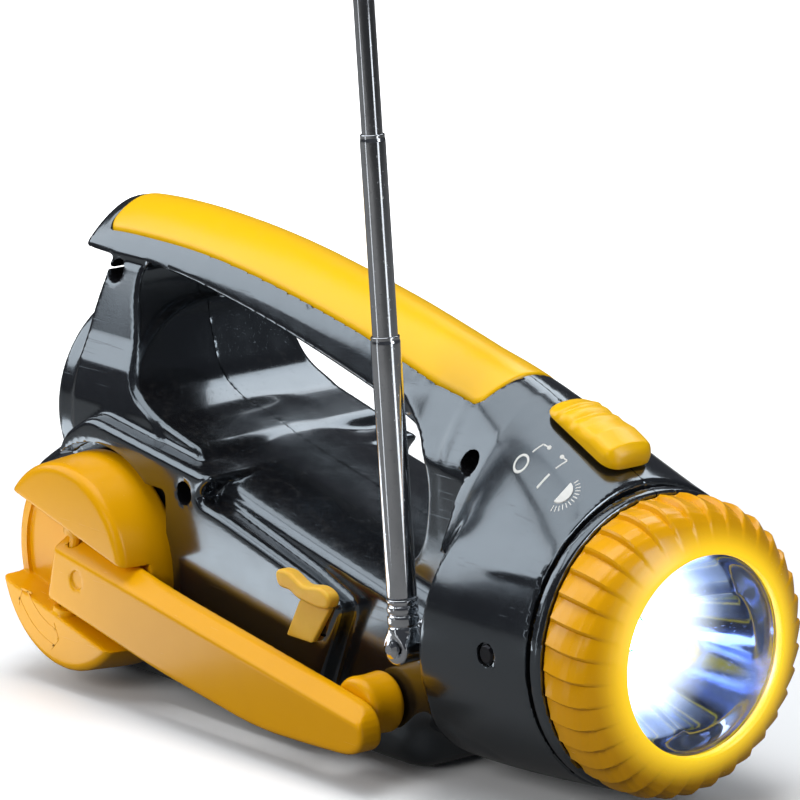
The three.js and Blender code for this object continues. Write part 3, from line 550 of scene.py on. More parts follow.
# ---------- lamp ----------
BEZEL_RIBS = 36
RIB_COLUMNS = 12
BEZEL_OUTSIDE = np.array([
    (95.6, 34.6), (95.6, 35.6), (96.2, 36.2), (99, 36.6), (102, 36.6), (104.5, 36.3), (106.5, 35.6),
    (108.3, 34.2), (109.8, 32.2), (111.0, 30.0), (112.0, 27.6), (112.7, 25.7), (112.9, 25.0),
    (112.6, 24.5), (111.9, 24.4), (111.2, 24.4)])
BEZEL_INSIDE = np.array([
    (110.5, 24.5), (110.4, 27.0), (96, 28), (94, 31), (87, 31), (87, 34.1), (95.5, 34.2)])


def bezel_factor(along, radius, angle):
    """Saw-tooth ribs round the back of the bezel, which fade out towards its front opening."""
    fade = np.clip((along - 95.5) / 0.6, 0, 1) * np.clip((112.2 - along) / 5.0, 0, 1) * (radius > 26)
    turn = (angle / (2 * np.pi) * BEZEL_RIBS) % 1.0
    tooth = np.where(turn < 0.88, turn / 0.88, (1 - turn) / 0.12)
    return 1 + fade * (0.040 * tooth - 0.036)


def dense(points, spacing):
    """Extra points along a polyline so that none of its pieces is longer than the spacing."""
    rows = [points[:1]]
    for a, b in zip(points[:-1], points[1:]):
        n = max(1, int(np.ceil(np.linalg.norm(b - a) / spacing)))
        rows.append(a + (b - a) * (np.arange(1, n + 1) / n)[:, None])
    return np.concatenate(rows)


def reflector_factor(along, radius, angle):
    """Three shallow lobes with a ridge between each pair, and none at the flange or the lamp hole."""
    lobe = np.abs(np.cos(1.5 * (angle + 0.5)))
    bell = np.clip((along - 85) / 4, 0, 1) * np.clip((107.0 - along) / 3, 0, 1)
    return 1 - bell * 0.13 * (1 - lobe) ** 1.3


def build_bezel():
    profile = np.concatenate([dense(BEZEL_OUTSIDE, 0.7), BEZEL_INSIDE])
    return revolved("lamp_bezel", profile, along_x, BEZEL_RIBS * RIB_COLUMNS, bezel_factor, closed=True,
                    sharp=24, twist=-0.003)


def build_lens():
    profile = [(108.6, 0), (108.6, 26), (108.9, 26.3), (109.9, 26.3), (110.2, 26), (110.35, 14), (110.4, 0)]
    return revolved("front_lens", profile, along_x, 96)


def build_mirror():
    """A bowl whose radius grows as depth to the power 0.62, with a flange and an even wall."""
    depth = np.linspace(0, 1, 28)
    inner = np.stack([85 + 22.5 * depth, 9 + 15.6 * depth**0.62], axis=1)
    outer = inner[::-1] + np.array([-0.5, 1.1])
    flange = [(108.2, 24.9), (108.2, 26.3), (107.2, 26.3)]
    bowl = np.concatenate([[(84.4, 5.1)], inner, flange, outer, [(84.0, 9.6)]])
    return revolved("mirror_bowl", bowl, along_x, 192, reflector_factor, closed=True, sharp=60)


def build_light():
    """The lamp's dome on its round foot."""
    profile = rounded_profile([(81.8, 0, 0), (81.8, 4.8, 0.4), (84.4, 4.8, 0.5), (84.6, 3.6, 0.3),
                               (88, 3.6, 2.2), (89.8, 0, 0)])
    return revolved("light_source", profile, along_x, 48)


# ---------- aerial ----------
def build_aerial():
    """Five telescoping tubes with rolled rims, the first closed below and the last closed above."""
    pieces = []
    top = AERIAL_BASE + BASE_SECTION
    last = len(AERIAL_RADII) - 1
    for index, radius in enumerate(AERIAL_RADII):
        low = AERIAL_BASE if index == 0 else top - UPPER_SECTION
        bore = radius - TUBE_WALL
        rim = [(top - 1.6, radius, 0.2), (top - 0.9, radius - 0.14, 0.2), (top - 0.15, radius - 0.1, 0.1),
               (top, radius - 0.25, 0.05), (top, bore, 0)]
        if index == last:
            corners = [(low, 0, 0), (low, radius, 0.2)] + rim[:-1] + [(top, 0, 0)]
        elif index == 0:
            corners = [(low, 0, 0), (low, radius, 0.3)] + rim + [(low + 1.2, bore, 0), (low + 1.2, 0, 0)]
        else:
            corners = [(low, bore, 0), (low, radius, 0.1)] + rim
        profile = dense(rounded_profile(corners), 8)
        pieces.append(revolved(f"aerial_tube_{index + 1}", profile, along_aerial, 40,
                               closed=0 < index < last, sharp=50))
        top += AERIAL_STEP
    return pieces


def build_aerial_button():
    low = AERIAL_BASE + BASE_SECTION + (len(AERIAL_RADII) - 1) * AERIAL_STEP + 0.3
    profile = rounded_profile([(low, 0, 0), (low, 2.6, 0.2), (low + 0.6, 3.4, 0.4), (low + 4.6, 3.4, 0.8),
                               (low + 6.4, 2.0, 1.2), (low + 6.6, 0, 0)])
    return revolved("aerial_button", profile, along_aerial, 40)


def aerial_axes(x, y, z):
    """Coordinates across, beside and along the aerial, from its pivot."""
    sin, cos = np.sin(AERIAL_LEAN), np.cos(AERIAL_LEAN)
    dx, dz = x - AERIAL[0], z - AERIAL[2]
    return dx * cos + dz * sin, y - AERIAL[1], dz * cos - dx * sin


def knuckle_field(x, y, z):
    """A flattened eye round the rivet below a turned neck with two grooves."""
    a, b, h = aerial_axes(x, y, z)
    eye = both(np.hypot(a, h) - 4.2, np.abs(b - 0.2) - 3.7, 0.8)
    r = np.hypot(a, b)
    turned = [(8.1, 0.45, 0.35), (10.4, 0.45, 0.35), (5.2, 0.35, 0.3)]
    groove = sum(deep * np.exp(-((h - height) / half) ** 2) for height, deep, half in turned)
    neck = both(r - 3.85 + groove, np.abs(h - 6.4) - 5.5, 0.4)
    form = either(eye, neck, 1.2)
    return without(form, both(np.hypot(a, h) - 1.7, np.abs(b) - 8, 0.1), 0.15)


# ---------- turned parts ----------
def build_knob():
    """The crank's waisted grip, bored through for its axle."""
    profile = rounded_profile([
        (-41.5, 1.85, 0), (-41.5, 6.6, 0.8), (-40.2, 7.7, 1.0), (-36, 7.4, 2.0), (-31.9, 7.7, 0.8),
        (-30.7, 6.4, 0.5), (-30.7, 3.0, 0), (-32.4, 3.0, 0), (-32.4, 1.85, 0)])
    return revolved("crank_grip", profile, along_y(*KNOB), 64, closed=True, sharp=45)


def dial(name, place, outer, teeth):
    """A control knob with fine teeth round its rim and a dished top."""
    def teeth_factor(along, radius, angle):
        return 1 - 0.02 * (radius > outer - 0.8) * (0.5 + 0.5 * np.cos(angle * teeth))
    profile = rounded_profile([
        (33.3, 2.85, 0), (33.3, outer, 0.2), (38.2, outer - 0.3, 0.5), (39.4, outer - 1.4, 0.5),
        (38.8, outer - 3.6, 1.2), (38.8, 0, 0)])
    profile = np.concatenate([profile, [(37.0, 0), (37.0, 2.85)]])
    return revolved(name, profile, along_y(*place), teeth * 8, teeth_factor, closed=True, sharp=40)


def build_screw(name, sx, sz, cad_box_mm):
    """A cross-head screw: a domed head with a cross cut into it, on a plain shank."""
    low, high = cad_box_mm
    middle_y, half_long = (low[1] + high[1]) / 2 + 0.5, (high[1] - low[1]) / 2 - 0.5

    def field(x, y, z):
        r = np.hypot(x - sx, z - sz)
        head = both(both(r - 2.75, low[1] + 0.09 * r * r - y, 0.35), y - (low[1] + 1.9), 0.2)
        one = both(np.abs(x - sx) - 0.45, np.abs(z - sz) - 1.6, 0.1)
        other = both(np.abs(z - sz) - 0.45, np.abs(x - sx) - 1.6, 0.1)
        head = without(head, both(np.minimum(one, other), y - (low[1] + 1.2), 0.1), 0.1)
        return either(head, both(r - 1.35, np.abs(y - middle_y) - half_long, 0.3), 0.2)
    return solid(name, field, (sx - 3, low[1], sz - 3), (sx + 3, high[1], sz + 3), 0.2)


# ---------- materials ----------
def new_group(name, inputs, outputs):
    """A shader node group with named sockets. inputs are (name, kind, value), outputs (name, kind)."""
    group = bpy.data.node_groups.new(name, "ShaderNodeTree")
    for label, kind, value in inputs:
        socket = group.interface.new_socket(label, in_out="INPUT", socket_type=kind)
        socket.default_value = value
    for label, kind in outputs:
        group.interface.new_socket(label, in_out="OUTPUT", socket_type=kind)
    return group, group.nodes.new("NodeGroupInput"), group.nodes.new("NodeGroupOutput")


def node(tree, kind, settings=None, **sockets):
    """A node with its settings and its input values or links. A socket is given by its number, such as
    i0, or by its name with underscores for the spaces."""
    made = tree.nodes.new(kind)
    for key, value in (settings or {}).items():
        setattr(made, key, value)
    for key, value in sockets.items():
        numbered = key[0] == "i" and key[1:].isdigit()
        socket = made.inputs[int(key[1:]) if numbered else key.replace("_", " ")]
        if isinstance(value, bpy.types.NodeSocket):
            tree.links.new(value, socket)
        else:
            socket.default_value = value
    return made


def sums(tree, operation, *values, clamp=False):
    places = {f"i{index}": value for index, value in enumerate(values)}
    return node(tree, "ShaderNodeMath", {"operation": operation, "use_clamp": clamp}, **places).outputs[0]


def blend(tree, factor, first, second):
    return node(tree, "ShaderNodeMix", {"data_type": "RGBA"}, Factor=factor, i6=first, i7=second).outputs[2]


def ramp(tree, value, low, high, start=0.0):
    """Rises from start at low to 1 at high."""
    return node(tree, "ShaderNodeMapRange", Value=value, From_Min=low, From_Max=high, To_Min=start).outputs[0]


def place_on_piece(tree):
    return node(tree, "ShaderNodeTexCoord").outputs["Object"]


def noise(tree, where, scale, detail, **more):
    return node(tree, "ShaderNodeTexNoise", Vector=where, Scale=scale, Detail=detail, **more).outputs[0]


FLOAT = "NodeSocketFloat"


def moulded_skin_group():
    """Low waves and fine grain of a moulded surface: a height, and a mask of slightly duller patches."""
    inputs = [("Grain size", FLOAT, 1800.0), ("Grain", FLOAT, 0.3), ("Waves", FLOAT, 0.4)]
    tree, given, out = new_group("moulded skin", inputs, [("Height", FLOAT), ("Patches", FLOAT)])
    where = place_on_piece(tree)
    fine = noise(tree, where, given.outputs["Grain size"], 3.0)
    fine = sums(tree, "MULTIPLY", fine, given.outputs["Grain"])
    slow = sums(tree, "MULTIPLY", noise(tree, where, 55.0, 1.0), given.outputs["Waves"])
    patches = ramp(tree, noise(tree, where, 140.0, 4.0), 0.4, 0.75)
    tree.links.new(sums(tree, "ADD", fine, slow), out.inputs["Height"])
    tree.links.new(patches, out.inputs["Patches"])
    return tree


def dust_group():
    """Dust: thin on upward faces and in specks, as a mask."""
    tree, given, out = new_group("settled dust", [("Amount", FLOAT, 0.1)], [("Dust", FLOAT)])
    facing = node(tree, "ShaderNodeNewGeometry").outputs["Normal"]
    up = node(tree, "ShaderNodeSeparateXYZ", Vector=facing).outputs["Z"]
    specks = noise(tree, place_on_piece(tree), 420.0, 8.0, Roughness=0.75)
    mask = sums(tree, "MULTIPLY", ramp(tree, up, 0.3, 1.0, 0.15), ramp(tree, specks, 0.52, 0.8))
    tree.links.new(sums(tree, "MULTIPLY", mask, given.outputs["Amount"], clamp=True), out.inputs["Dust"])
    return tree


def scratch_group():
    """Hairline scratches: thin bands of a stretched, turned noise, as a mask."""
    tree, given, out = new_group("hairlines", [("Amount", FLOAT, 0.5)], [("Scratches", FLOAT)])
    where = place_on_piece(tree)
    bands = []
    for turn, stretch in ((0.5, 30.0), (-0.9, 24.0)):
        turned = node(tree, "ShaderNodeMapping", Vector=where, Rotation=(0.2, turn, 0.3),
                      Scale=(stretch, 1600.0, 1600.0)).outputs[0]
        bands.append(ramp(tree, noise(tree, turned, 1.0, 2.0), 0.69, 0.74))
    lines = sums(tree, "MULTIPLY", sums(tree, "MAXIMUM", *bands), given.outputs["Amount"], clamp=True)
    tree.links.new(lines, out.inputs["Scratches"])
    return tree


def spill_group():
    """Light spilled from the lamp: 1 within the inner distance of its dome, falling to 0 at the outer one."""
    inputs = [("Centre X", FLOAT, 0.086), ("Inner", FLOAT, 0.008), ("Outer", FLOAT, 0.02)]
    tree, given, out = new_group("lamp spill", inputs, [("Spill", FLOAT)])
    centre = node(tree, "ShaderNodeCombineXYZ", X=given.outputs["Centre X"], Z=LAMP_Z * MM).outputs[0]
    away = node(tree, "ShaderNodeVectorMath", {"operation": "DISTANCE"}, i0=place_on_piece(tree), i1=centre)
    inner, outer = given.outputs["Inner"], given.outputs["Outer"]
    spill = node(tree, "ShaderNodeMapRange", {"interpolation_type": "SMOOTHSTEP"},
                 Value=away.outputs["Value"], From_Min=inner, From_Max=outer, To_Min=1.0, To_Max=0.0)
    tree.links.new(spill.outputs[0], out.inputs["Spill"])
    return tree


PLAIN_SOCKETS = {
    "coat": "Coat Weight", "coat_roughness": "Coat Roughness", "ior": "IOR", "metallic": "Metallic",
    "transmission": "Transmission Weight", "glow": "Emission Strength", "scatter": "Subsurface Weight",
    "specular": "Specular IOR Level", "specular_tint": "Specular Tint"}
SKIN, DUST, HAIRLINES, SPILL = moulded_skin_group(), dust_group(), scratch_group(), spill_group()


def light_up(material, colour, strength, centre, inner, outer):
    """Adds the lamp's spilled light to a material's emission, as a colour that fades with distance."""
    tree = material.node_tree
    shader = tree.nodes["Principled BSDF"]
    spill = node(tree, "ShaderNodeGroup", {"node_tree": SPILL}, Centre_X=centre, Inner=inner, Outer=outer)
    lit = blend(tree, spill.outputs["Spill"], (0, 0, 0, 1), (*colour, 1))
    tree.links.new(lit, shader.inputs["Emission Color"])
    shader.inputs["Emission Strength"].default_value = strength
    return material


DUST_COLOUR = (0.42, 0.40, 0.37, 1)
SECOND_SHADE = 0.86
DUST_DULLS, LINES_DULL, LINES_CUT = 0.5, 0.12, -0.5


def finish(name, colour, rough=0.3, rough_swing=0.08, second=None, grain=0.3, grain_size=1800.0, waves=0.4,
           bump=0.0001, dust=0.1, scratches=0.3, emission=None, **plain):
    """A plastic, rubber or metal: base colour drifting to a second one in patches, dust and hairlines that
    dull the gloss, and the moulded skin's height as bump. Plain numbers go on the shader's own sockets."""
    material = bpy.data.materials.new(name)
    material.use_nodes = True
    tree = material.node_tree
    shader = tree.nodes["Principled BSDF"]
    skin = node(tree, "ShaderNodeGroup", {"node_tree": SKIN}, Grain_size=grain_size, Grain=grain, Waves=waves)
    dirt = node(tree, "ShaderNodeGroup", {"node_tree": DUST}, Amount=dust).outputs["Dust"]
    lines = node(tree, "ShaderNodeGroup", {"node_tree": HAIRLINES}, Amount=scratches).outputs["Scratches"]
    patches = skin.outputs["Patches"]
    second = second or tuple(c * SECOND_SHADE for c in colour)
    drift = blend(tree, patches, (*colour, 1), (*second, 1))
    tree.links.new(blend(tree, dirt, drift, DUST_COLOUR), shader.inputs["Base Color"])
    dull = sums(tree, "MULTIPLY_ADD", patches, rough_swing, rough)
    dull = sums(tree, "MULTIPLY_ADD", dirt, DUST_DULLS, dull)
    dull = sums(tree, "MULTIPLY_ADD", lines, LINES_DULL, dull, clamp=True)
    tree.links.new(dull, shader.inputs["Roughness"])
    height = sums(tree, "MULTIPLY_ADD", lines, LINES_CUT, skin.outputs["Height"])
    relief = node(tree, "ShaderNodeBump", Height=height, Distance=bump, Strength=1.0)
    tree.links.new(relief.outputs["Normal"], shader.inputs["Normal"])
    if emission:
        shader.inputs["Emission Color"].default_value = (*emission, 1)
    for key, value in plain.items():
        shader.inputs[PLAIN_SOCKETS[key]].default_value = value
    return material


def srgb(*levels):
    """Linear colour of three 0 to 255 screen levels."""
    return tuple(round(((v / 255 + 0.055) / 1.055) ** 2.4 if v > 10 else v / 255 / 12.92, 4) for v in levels)


def amber(name, dust, **plain):
    return finish(name, srgb(226, 160, 0), 0.24, 0.03, srgb(224, 158, 0), grain=0.08, waves=0.3,
                  bump=0.00006, scratches=0.2, dust=dust, **plain)


def metal(name, colour, rough, rough_swing=0.1, grain=0.3, bump=0.00004, **more):
    return finish(name, colour, rough, rough_swing, metallic=1.0, grain=grain, bump=bump, **more)


MATERIALS = {
    "black_shell": finish(
        "glossy black housing", (0.006, 0.006, 0.007), 0.15, 0.06, grain=0.10, waves=0.9, bump=0.00008,
        dust=0.10, scratches=0.25, coat=0.6, coat_roughness=0.06, specular=1.0, ior=1.8,
        specular_tint=(0.80, 0.91, 1.0, 1)),
    "amber_plastic": amber("amber tinted plastic", 0.04, specular=0.3),
    "yellow_plastic": finish(
        "yellow inlay plastic", srgb(242, 187, 0), 0.28, 0.04, srgb(241, 185, 0), grain=0.15, waves=0.3,
        bump=0.00006, scratches=0.2, dust=0.05),
    "pale_rubber": finish(
        "pale soft cover", srgb(238, 176, 56), 0.42, 0.1, srgb(228, 164, 46), grain=0.5, bump=0.00008,
        scatter=0.2),
    "aerial_chrome": metal(
        "bright plated tube", (0.78, 0.79, 0.81), 0.10, 0.05, grain=0.08, waves=0.2, scratches=0.6),
    "screw_steel": metal("blackened screw steel", (0.05, 0.05, 0.055), 0.32),
    "plain_steel": metal("turned steel", (0.46, 0.46, 0.47), 0.28, 0.12, scratches=0.8),
    "brass_pinion": metal("cut brass", (0.72, 0.50, 0.20), 0.27),
    "copper_wire": metal(
        "enamelled copper winding", (0.62, 0.26, 0.10), 0.3, grain=1.0, bump=0.0002, grain_size=2600.0),
    "reflector_mirror": metal(
        "plated mirror bowl", (0.50, 0.62, 0.95), 0.06, 0.04, grain=0.05, bump=0.00006, waves=0.5),
    "clear_lens": finish(
        "clear lamp lens", (0.97, 0.98, 1.0), 0.02, 0.02, grain=0.0, waves=0.1, bump=0.00002, dust=0.02,
        scratches=0.1, transmission=1.0, ior=1.46),
    "led_light": finish("lit lamp dome", (1.0, 1.0, 1.0), 0.3, emission=(0.94, 0.97, 1.0), glow=34.0),
    "circuit_green": finish("green circuit board", (0.02, 0.14, 0.06), 0.35, second=(0.03, 0.20, 0.08)),
    "white_nylon": finish("natural nylon", (0.74, 0.73, 0.68), 0.4, scatter=0.1),
    "dark_plastic": finish("satin dark plastic", (0.018, 0.018, 0.020), 0.36, 0.1, grain=0.5, bump=0.00008),
    "speaker_paper": finish(
        "pressed paper cone", (0.035, 0.035, 0.037), 0.85, grain=1.2, grain_size=1200.0, bump=0.0002),
    "ferrite": finish("dark ferrite", (0.045, 0.045, 0.05), 0.6, grain=1.0, bump=0.0001),
    "cell_wrap": finish("printed cell wrap", (0.04, 0.16, 0.36), 0.25, second=(0.05, 0.20, 0.42)),
}
# Painted glow: emission on the amber bezel near its opening and in the mirror bowl stands in for the lamp's
# light shining through the amber and reflected in the bowl.
BEZEL_LIT = light_up(amber("amber lit by the lamp", 0.05), (1.0, 0.70, 0.03), 0.9, 0.106, 0.0235, 0.033)
light_up(MATERIALS["reflector_mirror"], (0.80, 0.90, 1.0), 2.6, 0.087, 0.0085, 0.0225)
WHITE_PRINT = finish("pale printed marks", srgb(214, 214, 210), 0.5, waves=0.2, dust=0.1)


def dress(piece, body, slot, *nodes, material=None):
    """Gives a finished piece its material, the slot's unless one is given, and its body, and hides the frame
    nodes that it stands for.
    """
    piece.data.materials.clear()
    piece.data.materials.append(material or MATERIALS[slot])
    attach(piece, body)
    if nodes:
        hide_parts(*nodes)
    return piece


# ---------- making and dressing ----------
def carve(name, field, low, high, step, body, slot, cad):
    dress(solid(name, field, low, high, step), body, slot, cad)


def make_body():
    carve("right_shell", right_field, (-125, -41, -0.5), (94, 0.5, 121), SHELL_STEP,
          "body", "black_shell", "right_housing")
    carve("left_shell", left_field, (-125, -0.65, -0.5), (94, 41, 121), SHELL_STEP,
          "body", "black_shell", "left_housing")
    carve("grip_inlay", inlay_field, (-117, -14, 85), (50, 14, 121), 0.6,
          "body", "yellow_plastic", "handle_inlay")
    for number, (sx, sz, _, _) in enumerate(SHELL_SCREWS, 1):
        cad = f"housing_screw_{number}"
        box_mm = [[c / MM for c in corner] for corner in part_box(cad)]
        dress(build_screw(f"shell_screw_{number}", sx, sz, box_mm), "body", "screw_steel", cad)


def make_lamp():
    dress(build_bezel(), "bezel", "amber_plastic", "bezel", material=BEZEL_LIT)
    dress(build_lens(), "bezel", "clear_lens", "lens")
    dress(build_mirror(), "bezel", "reflector_mirror", "reflector")
    dress(build_light(), "body", "led_light", "led")
    carve("thumb_switch", switch_field, (58, -8, 78), (90, 8, 102), 0.42,
          "switch", "yellow_plastic", "switch_button")


def make_crank():
    carve("crank_drum", hub_field, (-109, -50, 2), (-49, -30, 62), 0.55,
          "crank", "amber_plastic", "crank_hub")
    carve("crank_bar", arm_field, (-85, -50, 4), (45, -41, 45), 0.6,
          "arm", "amber_plastic", "crank_arm")
    dress(build_knob(), "knob", "amber_plastic", "crank_knob")
    carve("socket_flap", cover_field, (-3, -41, 28), (22, -36, 48), 0.3,
          "socket_cover", "pale_rubber", "socket_cover")


def make_aerial():
    for index, tube in enumerate(build_aerial()):
        body = "aerial_base" if index == 0 else f"aerial_{index + 1}"
        dress(tube, body, "aerial_chrome", f"aerial_section_{index + 1}")
    dress(build_aerial_button(), "aerial_5", "aerial_chrome", "aerial_tip")
    carve("aerial_elbow", knuckle_field, (41, -43, 31), (52, -33, 50), 0.3,
          "aerial_base", "aerial_chrome", "aerial_knuckle")


make_body()
make_lamp()
make_crank()
make_aerial()
dress(dial("tuning_dial", TUNING, 14.0, 44), "tuning", "dark_plastic", "tuning_knob")
dress(dial("volume_dial", VOLUME, 9.5, 30), "volume", "dark_plastic", "volume_knob")


def dress_kept_nodes():
    """Every frame node that is still shown takes the procedural material of its own slot."""
    slots = {part["node"]: part["material_slot"] for part in frame["record"]["subparts"]}
    for name, kept in frame["nodes"].items():
        if not kept.hide_render:
            slot = "amber_plastic" if name == "arm_hinge_pin" else slots[name]
            kept.data.materials.clear()
            kept.data.materials.append(MATERIALS[slot])


STRIP_FOOT = -0.1


def strip(name, path, half, surface, thick=0.18):
    """A thin raised line: a path in a surface's own two coordinates, widened by half to both sides (one
    value or one for each point) and lifted by thick. surface(u, v, lift) gives x, y, z."""
    path = np.array(path, float)
    step = np.gradient(path, axis=0)
    across = np.stack([-step[:, 1], step[:, 0]], axis=1)
    length = np.maximum(np.linalg.norm(across, axis=1, keepdims=True), 1e-9)
    across = across / length * np.reshape(half, (-1, 1))
    u = np.stack([path - across, path - across, path + across, path + across], axis=1)
    lift = np.array([STRIP_FOOT, thick, thick, STRIP_FOOT])
    vertices = np.stack(surface(u[..., 0], u[..., 1], lift), axis=-1).reshape(-1, 3)
    here, j = np.arange(len(path) - 1)[:, None] * 4, np.arange(4)[None, :]
    j2 = (j + 1) % 4
    faces = np.stack([here + j, here + 4 + j, here + 4 + j2, here + j2], axis=-1).reshape(-1, 4)
    last = 4 * len(path) - 4
    faces = np.concatenate([faces, [[3, 2, 1, 0]], [[last, last + 1, last + 2, last + 3]]])
    piece = mesh_object(name, vertices, faces)
    tidy_mesh(piece)
    return piece


def arc(cx, cy, radius, start, end, n=24):
    t = np.radians(np.linspace(start, end, n))
    return np.stack([cx + radius * np.cos(t), cy + radius * np.sin(t)], axis=1)


def line(*points, n=6):
    return np.concatenate([np.array(a) + (np.array(b) - np.array(a)) * np.linspace(0, 1, n)[:, None]
                           for a, b in zip(points[:-1], points[1:])])


def on_saddle(x, y, lift):
    return x, y, saddle_surface(x, y) + lift * 0.5


def on_drum_face(x, z, lift):
    return x, CRANK["face"] - lift + 0 * x, z


def print_mark(name, path, half, thick=0.18):
    mark = strip(f"mark_{name}", path, half, on_saddle, thick)
    dress(mark, "body", "white_nylon", material=WHITE_PRINT)


def print_switch_marks():
    """A dot with a bent lead to a ring, a dot with a bent lead to a bar, and a half lamp with rays."""
    print_mark("dot_off", arc(69.7, -11.6, 0.27, 0, 360), 0.27)
    print_mark("lead_off", line((69.7, -11.6), (67.9, -11.9), (67.1, -14.6)), 0.16)
    print_mark("ring", arc(66.4, -17.6, 1.7, 0, 360, 40), 0.24)
    print_mark("dot_on", arc(74.0, -11.3, 0.27, 0, 360), 0.27)
    print_mark("lead_on", line((74.0, -11.3), (75.8, -11.2), (75.1, -14.2)), 0.16)
    print_mark("bar", line((74.9, -16.0), (74.5, -19.6)), 0.28)
    centre, radius = (81.0, -17.3), 2.6
    across = np.linspace(0.02, radius - 0.02, 20)
    half_lamp = np.stack([centre[0] + across, np.full(20, centre[1])], axis=1)
    print_mark("half_lamp", half_lamp, np.sqrt(radius**2 - across**2), 0.6)
    for ray, turn in enumerate(np.radians(np.linspace(-78, 78, 13))):
        way = np.array([np.cos(turn), np.sin(turn)])
        print_mark(f"ray_{ray + 1}", line(centre + way * 3.2, centre + way * 4.4), 0.11)


def raise_drum_mark(name, path):
    dress(strip(name, path, 0.28, on_drum_face, 0.09), "crank", "amber_plastic")


def raise_drum_marks():
    """Two lines curved the way the drum turns, with an arrow head at each end."""
    for radius in (17.0, 21.5):
        raise_drum_mark(f"turning_line_{int(radius)}", arc(CRANK["x"], CRANK["z"], radius, 212, 262, 30))
    for end, turn, wing_turn in (("low", 266.0, 258.0), ("high", 208.0, 216.0)):
        tip = arc(CRANK["x"], CRANK["z"], 19.2, turn, turn, 1)[0]
        wings = [arc(CRANK["x"], CRANK["z"], r, wing_turn, 0, 1)[0] for r in (15.6, 23.0)]
        raise_drum_mark(f"turning_head_{end}", line(wings[0], tip, wings[1]))


print_switch_marks()
raise_drum_marks()
dress_kept_nodes()


# ---------- camera, light and floor ----------
def aim(thing, place, target):
    """Turns a camera or lamp so that its own -Z looks at the target."""
    thing.location = Vector(place)
    thing.rotation_euler = (Vector(target) - Vector(place)).to_track_quat("-Z", "Y").to_euler()


CAMERA_PLACE = (1.1319, -0.9142, 0.4373)
CAMERA_LENS, CAMERA_SENSOR = 271.7, 36.0
AZIMUTH, ELEVATION, ROLL = np.radians(51.1), np.radians(13.7), np.radians(-0.6)


def set_camera():
    sideways, forward = np.sin(AZIMUTH) * np.cos(ELEVATION), -np.cos(AZIMUTH) * np.cos(ELEVATION)
    back = Vector((sideways, forward, np.sin(ELEVATION)))
    right = Vector((np.cos(AZIMUTH), np.sin(AZIMUTH), 0))
    up = back.cross(right)
    turned_right = right * np.cos(ROLL) + up * np.sin(ROLL)
    turned_up = up * np.cos(ROLL) - right * np.sin(ROLL)
    data = bpy.data.cameras.new("camera")
    data.sensor_width = CAMERA_SENSOR
    data.lens = CAMERA_LENS
    data.clip_start, data.clip_end = 0.05, 50
    camera = bpy.data.objects.new("camera", data)
    bpy.context.collection.objects.link(camera)
    turn = Matrix((turned_right, turned_up, back)).transposed()
    camera.matrix_world = Matrix.Translation(Vector(CAMERA_PLACE)) @ turn.to_4x4()
    bpy.context.scene.camera = camera


def softbox(name, place, target, width, height, power, colour=(1, 1, 1), mirrored=True):
    """A card-shaped lamp that the camera doesn't see. An unmirrored one leaves no highlight."""
    data = bpy.data.lights.new(name, "AREA")
    data.shape, data.size, data.size_y, data.energy, data.color = "RECTANGLE", width, height, power, colour
    lamp = bpy.data.objects.new(name, data)
    bpy.context.collection.objects.link(lamp)
    aim(lamp, place, target)
    lamp.visible_glossy = mirrored
    lamp.visible_camera = False


FLOOR_SIZE, FLOOR_DROP, FLOOR_FADE, FLOOR_DARKENED = 30.0, -0.0006, (0.25, 0.55), 0.85


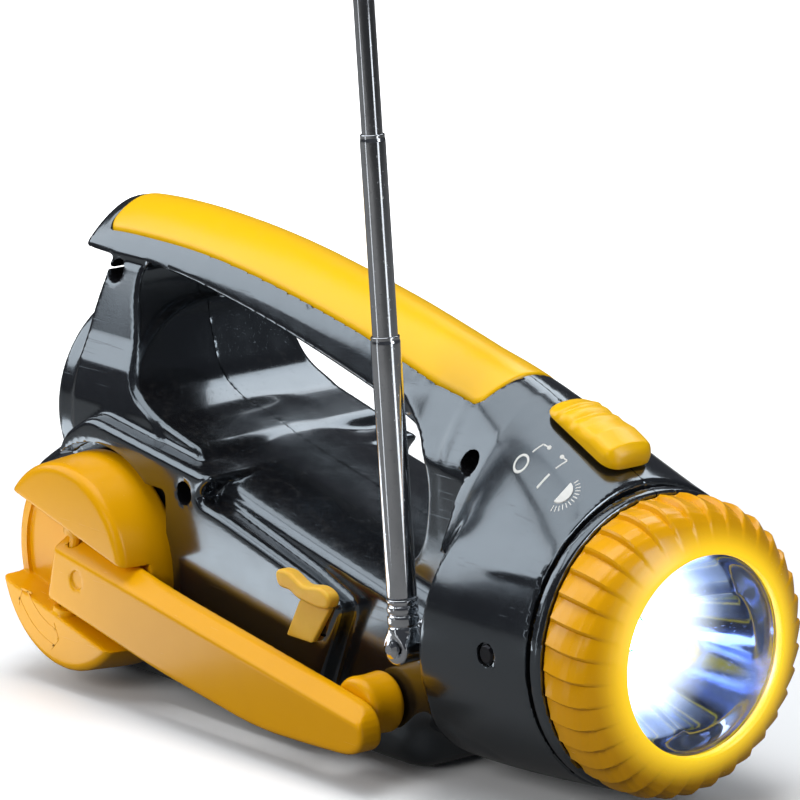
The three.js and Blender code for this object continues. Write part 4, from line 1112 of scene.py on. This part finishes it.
def set_floor():
    """A pale floor that fades to white for the camera away from the radio, and is mostly dark in its
    reflections."""
    bpy.ops.mesh.primitive_plane_add(size=FLOOR_SIZE, location=(0, 0, FLOOR_DROP))
    floor = bpy.context.object
    floor.name = "floor"
    pale = bpy.data.materials.new("pale floor")
    pale.use_nodes = True
    tree = pale.node_tree
    shader = tree.nodes["Principled BSDF"]
    where = place_on_piece(tree)
    tint = node(tree, "ShaderNodeTexNoise", Vector=where, Scale=3.0).outputs[0]
    shade = blend(tree, tint, (0.90, 0.90, 0.90, 1), (0.92, 0.92, 0.92, 1))
    tree.links.new(shade, shader.inputs["Base Color"])
    shader.inputs["Roughness"].default_value = 0.6
    seen = node(tree, "ShaderNodeLightPath").outputs["Is Camera Ray"]
    away = node(tree, "ShaderNodeVectorMath", {"operation": "LENGTH"}, i0=where).outputs["Value"]
    whiter = sums(tree, "MULTIPLY", ramp(tree, away, *FLOOR_FADE), seen)
    shader.inputs["Emission Color"].default_value = (1, 1, 1, 1)
    tree.links.new(whiter, shader.inputs["Emission Strength"])
    dark = node(tree, "ShaderNodeEmission", Color=(0.02, 0.02, 0.02, 1)).outputs[0]
    unseen = sums(tree, "MULTIPLY_ADD", -FLOOR_DARKENED, seen, FLOOR_DARKENED)
    mix = node(tree, "ShaderNodeMixShader", Fac=unseen, i1=shader.outputs[0], i2=dark)
    tree.links.new(mix.outputs[0], tree.nodes["Material Output"].inputs["Surface"])
    floor.data.materials.append(pale)


def set_surround():
    """White for the camera, a dim bluish grey for everything else."""
    world = bpy.data.worlds.new("surround")
    bpy.context.scene.world = world
    world.use_nodes = True
    tree = world.node_tree
    tree.nodes.clear()
    white = node(tree, "ShaderNodeBackground", Color=(1, 1, 1, 1), Strength=1.0).outputs[0]
    dim = node(tree, "ShaderNodeBackground", Color=(0.80, 0.86, 1.0, 1), Strength=0.06).outputs[0]
    seen = node(tree, "ShaderNodeLightPath").outputs["Is Camera Ray"]
    mix = node(tree, "ShaderNodeMixShader", Fac=seen, i1=dim, i2=white)
    out = tree.nodes.new("ShaderNodeOutputWorld")
    tree.links.new(mix.outputs[0], out.inputs["Surface"])


set_camera()
set_floor()
set_surround()
MIDDLE = (-0.01, 0.0, 0.07)
ON_AERIAL = (0.047, -0.038, 0.09)
COOL = (0.90, 0.95, 1.0)
softbox("rear left card", (-1.1, -0.62, 0.80), MIDDLE, 1.0, 0.9, 5.6, COOL)
softbox("top card", (-0.30, -0.25, 1.5), MIDDLE, 1.4, 1.4, 10, COOL)
softbox("front card", (1.5, 0.5, 0.8), MIDDLE, 0.5, 0.9, 7, COOL)
softbox("far card", (-0.5, 1.1, 1.3), MIDDLE, 0.9, 0.7, 5, COOL)
softbox("low left card", (-0.16, -0.105, 0.001), (-0.16, -0.1049, 1.0), 0.18, 0.09, 0.12, COOL)
softbox("right aerial strip", (0.325, 0.0, 0.09), ON_AERIAL, 0.07, 0.18, 0.06, COOL)
softbox("left aerial strip", (-0.045, -0.305, 0.09), ON_AERIAL, 0.03, 0.18, 0.02, COOL)
softbox("side fill", (0.3, -1.5, 0.8), MIDDLE, 0.8, 0.8, 13, mirrored=False)
softbox("top fill", (-0.1, 0.1, 1.6), MIDDLE, 0.9, 0.9, 14, mirrored=False)
bpy.context.scene.view_settings.view_transform = "Standard"
